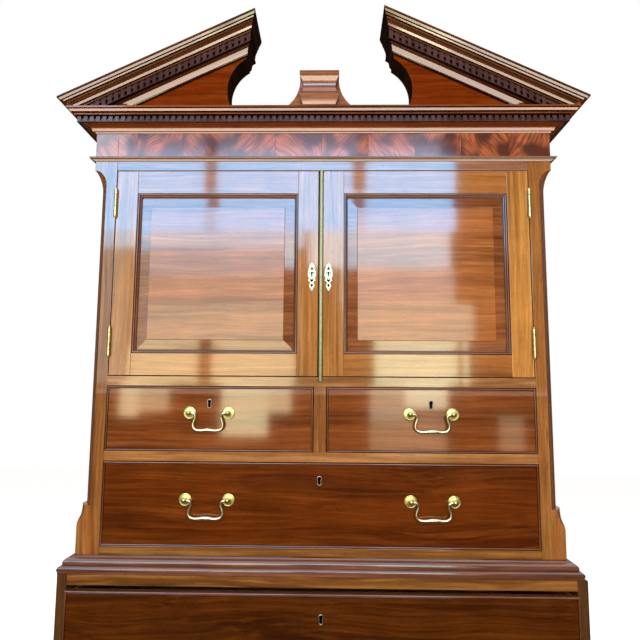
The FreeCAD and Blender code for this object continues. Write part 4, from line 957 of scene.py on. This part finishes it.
# ---- pediment -----------------------------------------------------------------------------------
# Two raking halves: a flat board sawn to a hollow at its inner end, and raking mouldings that are
# mitred into a short return there.
tympanum_wood = mahogany("tympanum mahogany", "X", (0.105, 0.010, 0.001), (0.18, 0.020, 0.001),
                         (0.29, 0.048, 0.005), shift=25.0, coat=1.3)
bed = [(55, -18.4), (46.8, -22.8), (44.4, -28), (39.5, -28.3), (39.5, -33), (28, -33), (28, -57),
       (16.5, -58.6), (13.8, -63.4), (11.6, -68), (10.4, -70.6), (8, -70.8), (7.6, -72), (0, -72.3)]
rake_sections = {"moulding": crown + bed + [(0, 0)]}
for name, low, high, out in (("dentil_link", -42.0, -33.0, 35.0),
                             ("dentil_fillet", -57.0, -54.8, 38.4)):
    rake_sections[name] = [(27, high), (out, high), (out, low), (27, low)]
cornice_half = upper_half + crown_reach
tilt = math.atan(slope)
tympanum_back, return_lean = face + 0.072, 0.4
for side, label, inner in ((-1, "left", 0.167), (1, "right", 0.155)):
    end = inner + 0.030

    def tip(x):
        """The height of the rake's upper edge."""
        return crown_tip + slope * (cornice_half - abs(x))

    hollow_end = metres(rounded([(24, 0), ((43, 39), (47, 78)), ((35, 119), (0, 156))], 6.0), end,
                        level_top)
    outline = [(upper_half, level_top)] + hollow_end
    outline += [(end, tip(end)), (cornice_half, crown_tip), (upper_half, crown_tip)]
    tympanum = worked(f"tympanum_{label}", "Y", face, tympanum_back,
                      [(side * x, z) for x, z in outline])
    placed(tympanum, "case", tympanum_wood, *(["pediment_tympana"] if side < 0 else []),
           smooth=12.0)
    # The inward faces of the hollow end take the near-black wood: end grain, darkened further as
    # painted shade.
    tympanum.data.materials.append(shaded_wood)
    for flat in tympanum.data.polygons:
        if flat.normal.x * side < -0.2:
            flat.material_index = 1

    rake_wood = mahogany(f"raking mahogany {label}", "X", (0.075, 0.018, 0.005),
                         (0.15, 0.040, 0.012), (0.24, 0.075, 0.025), shift=27.0 + side,
                         tilt=-side * tilt)
    for part, section in rake_sections.items():
        rake = worked(f"raking_{part}_{label}", "X", *sorted((side * 0.05, side * -0.70)),
                      [(face - p, drop * math.cos(tilt)) for p, drop in metres(section)])
        rake.data.transform(Matrix.Translation((side * cornice_half, 0, crown_tip))
                            @ Matrix.Rotation(side * tilt, 4, "Y"))
        sawn(rake, [((side * upper_half, face, 0), (side, 1, 0)),
                    ((side * end, face, 0), (-side, return_lean, 0)),
                    ((0, 0, level_top), (0, 0, -1))])
        first = side < 0 and part == "moulding"
        placed(rake, "case", rake_wood if part == "moulding" else dentil_wood,
               *(["rake_mouldings"] if first else []))
        # the rake's flat undersides take the near-black wood: painted shade
        shade_undersides(rake, shaded_wood, -0.5)
        turn = [(end - return_lean * p, drop) for p, drop in metres(section)]
        turn = [(side * x, tip(x) + drop) for x, drop in turn]
        back_return = worked(f"raking_{part}_{label}_return", "Y", face - crown_reach,
                             tympanum_back, turn,
                             [((side * end, face, 0), (side, -return_lean, 0))])
        # the short inner return is wholly near-black: painted shade
        placed(back_return, "case", shaded_wood)


# ---- pedestal -----------------------------------------------------------------------------------
# A small moulded block for a bust or vase in the gap, on a board with swept sides.
pedestal_wood = mahogany("pedestal mahogany", "X", (0.16, 0.042, 0.016), (0.31, 0.090, 0.034),
                         (0.44, 0.16, 0.06), 0.45, shift=31.0)
middle, half, reach = -0.006, 0.040, 0.020
sweep_half = rounded([(95, 0), (95, 18), ((59, 56), (50, 91)), (50, 107)], 8.0)
swept = metres(sweep_half, middle, level_top)
swept += reversed(metres(sweep_half, middle, level_top, -1))
placed(worked("pedestal_board", "Y", face, tympanum_back, swept), "case", pedestal_wood,
       "pediment_plinth", smooth=20.0)
pedestal = raised([(0.6, 0), (0.6, 19), (1.3, 21), (8.6, 40), (9.1, 41.5), (10, 45.5),
                   ((3.6, 55), (1, 66)), (1, 72), (1.6, 76), (3.4, 82.5), (6.2, 88.5), (9, 93),
                   (9, 96.5), (10, 97), (10, 107)], level_top, [(0, 107), (0, 0)])
mitred("pedestal_moulding", pedestal, half, face - reach, face, (pedestal_wood, pedestal_wood),
       middle)
core = board("pedestal_block", (middle - half, face - reach, level_top),
             (middle + half, face, level_top + 0.107), 0.0004)
placed(core, "case", pedestal_wood, smooth=0)
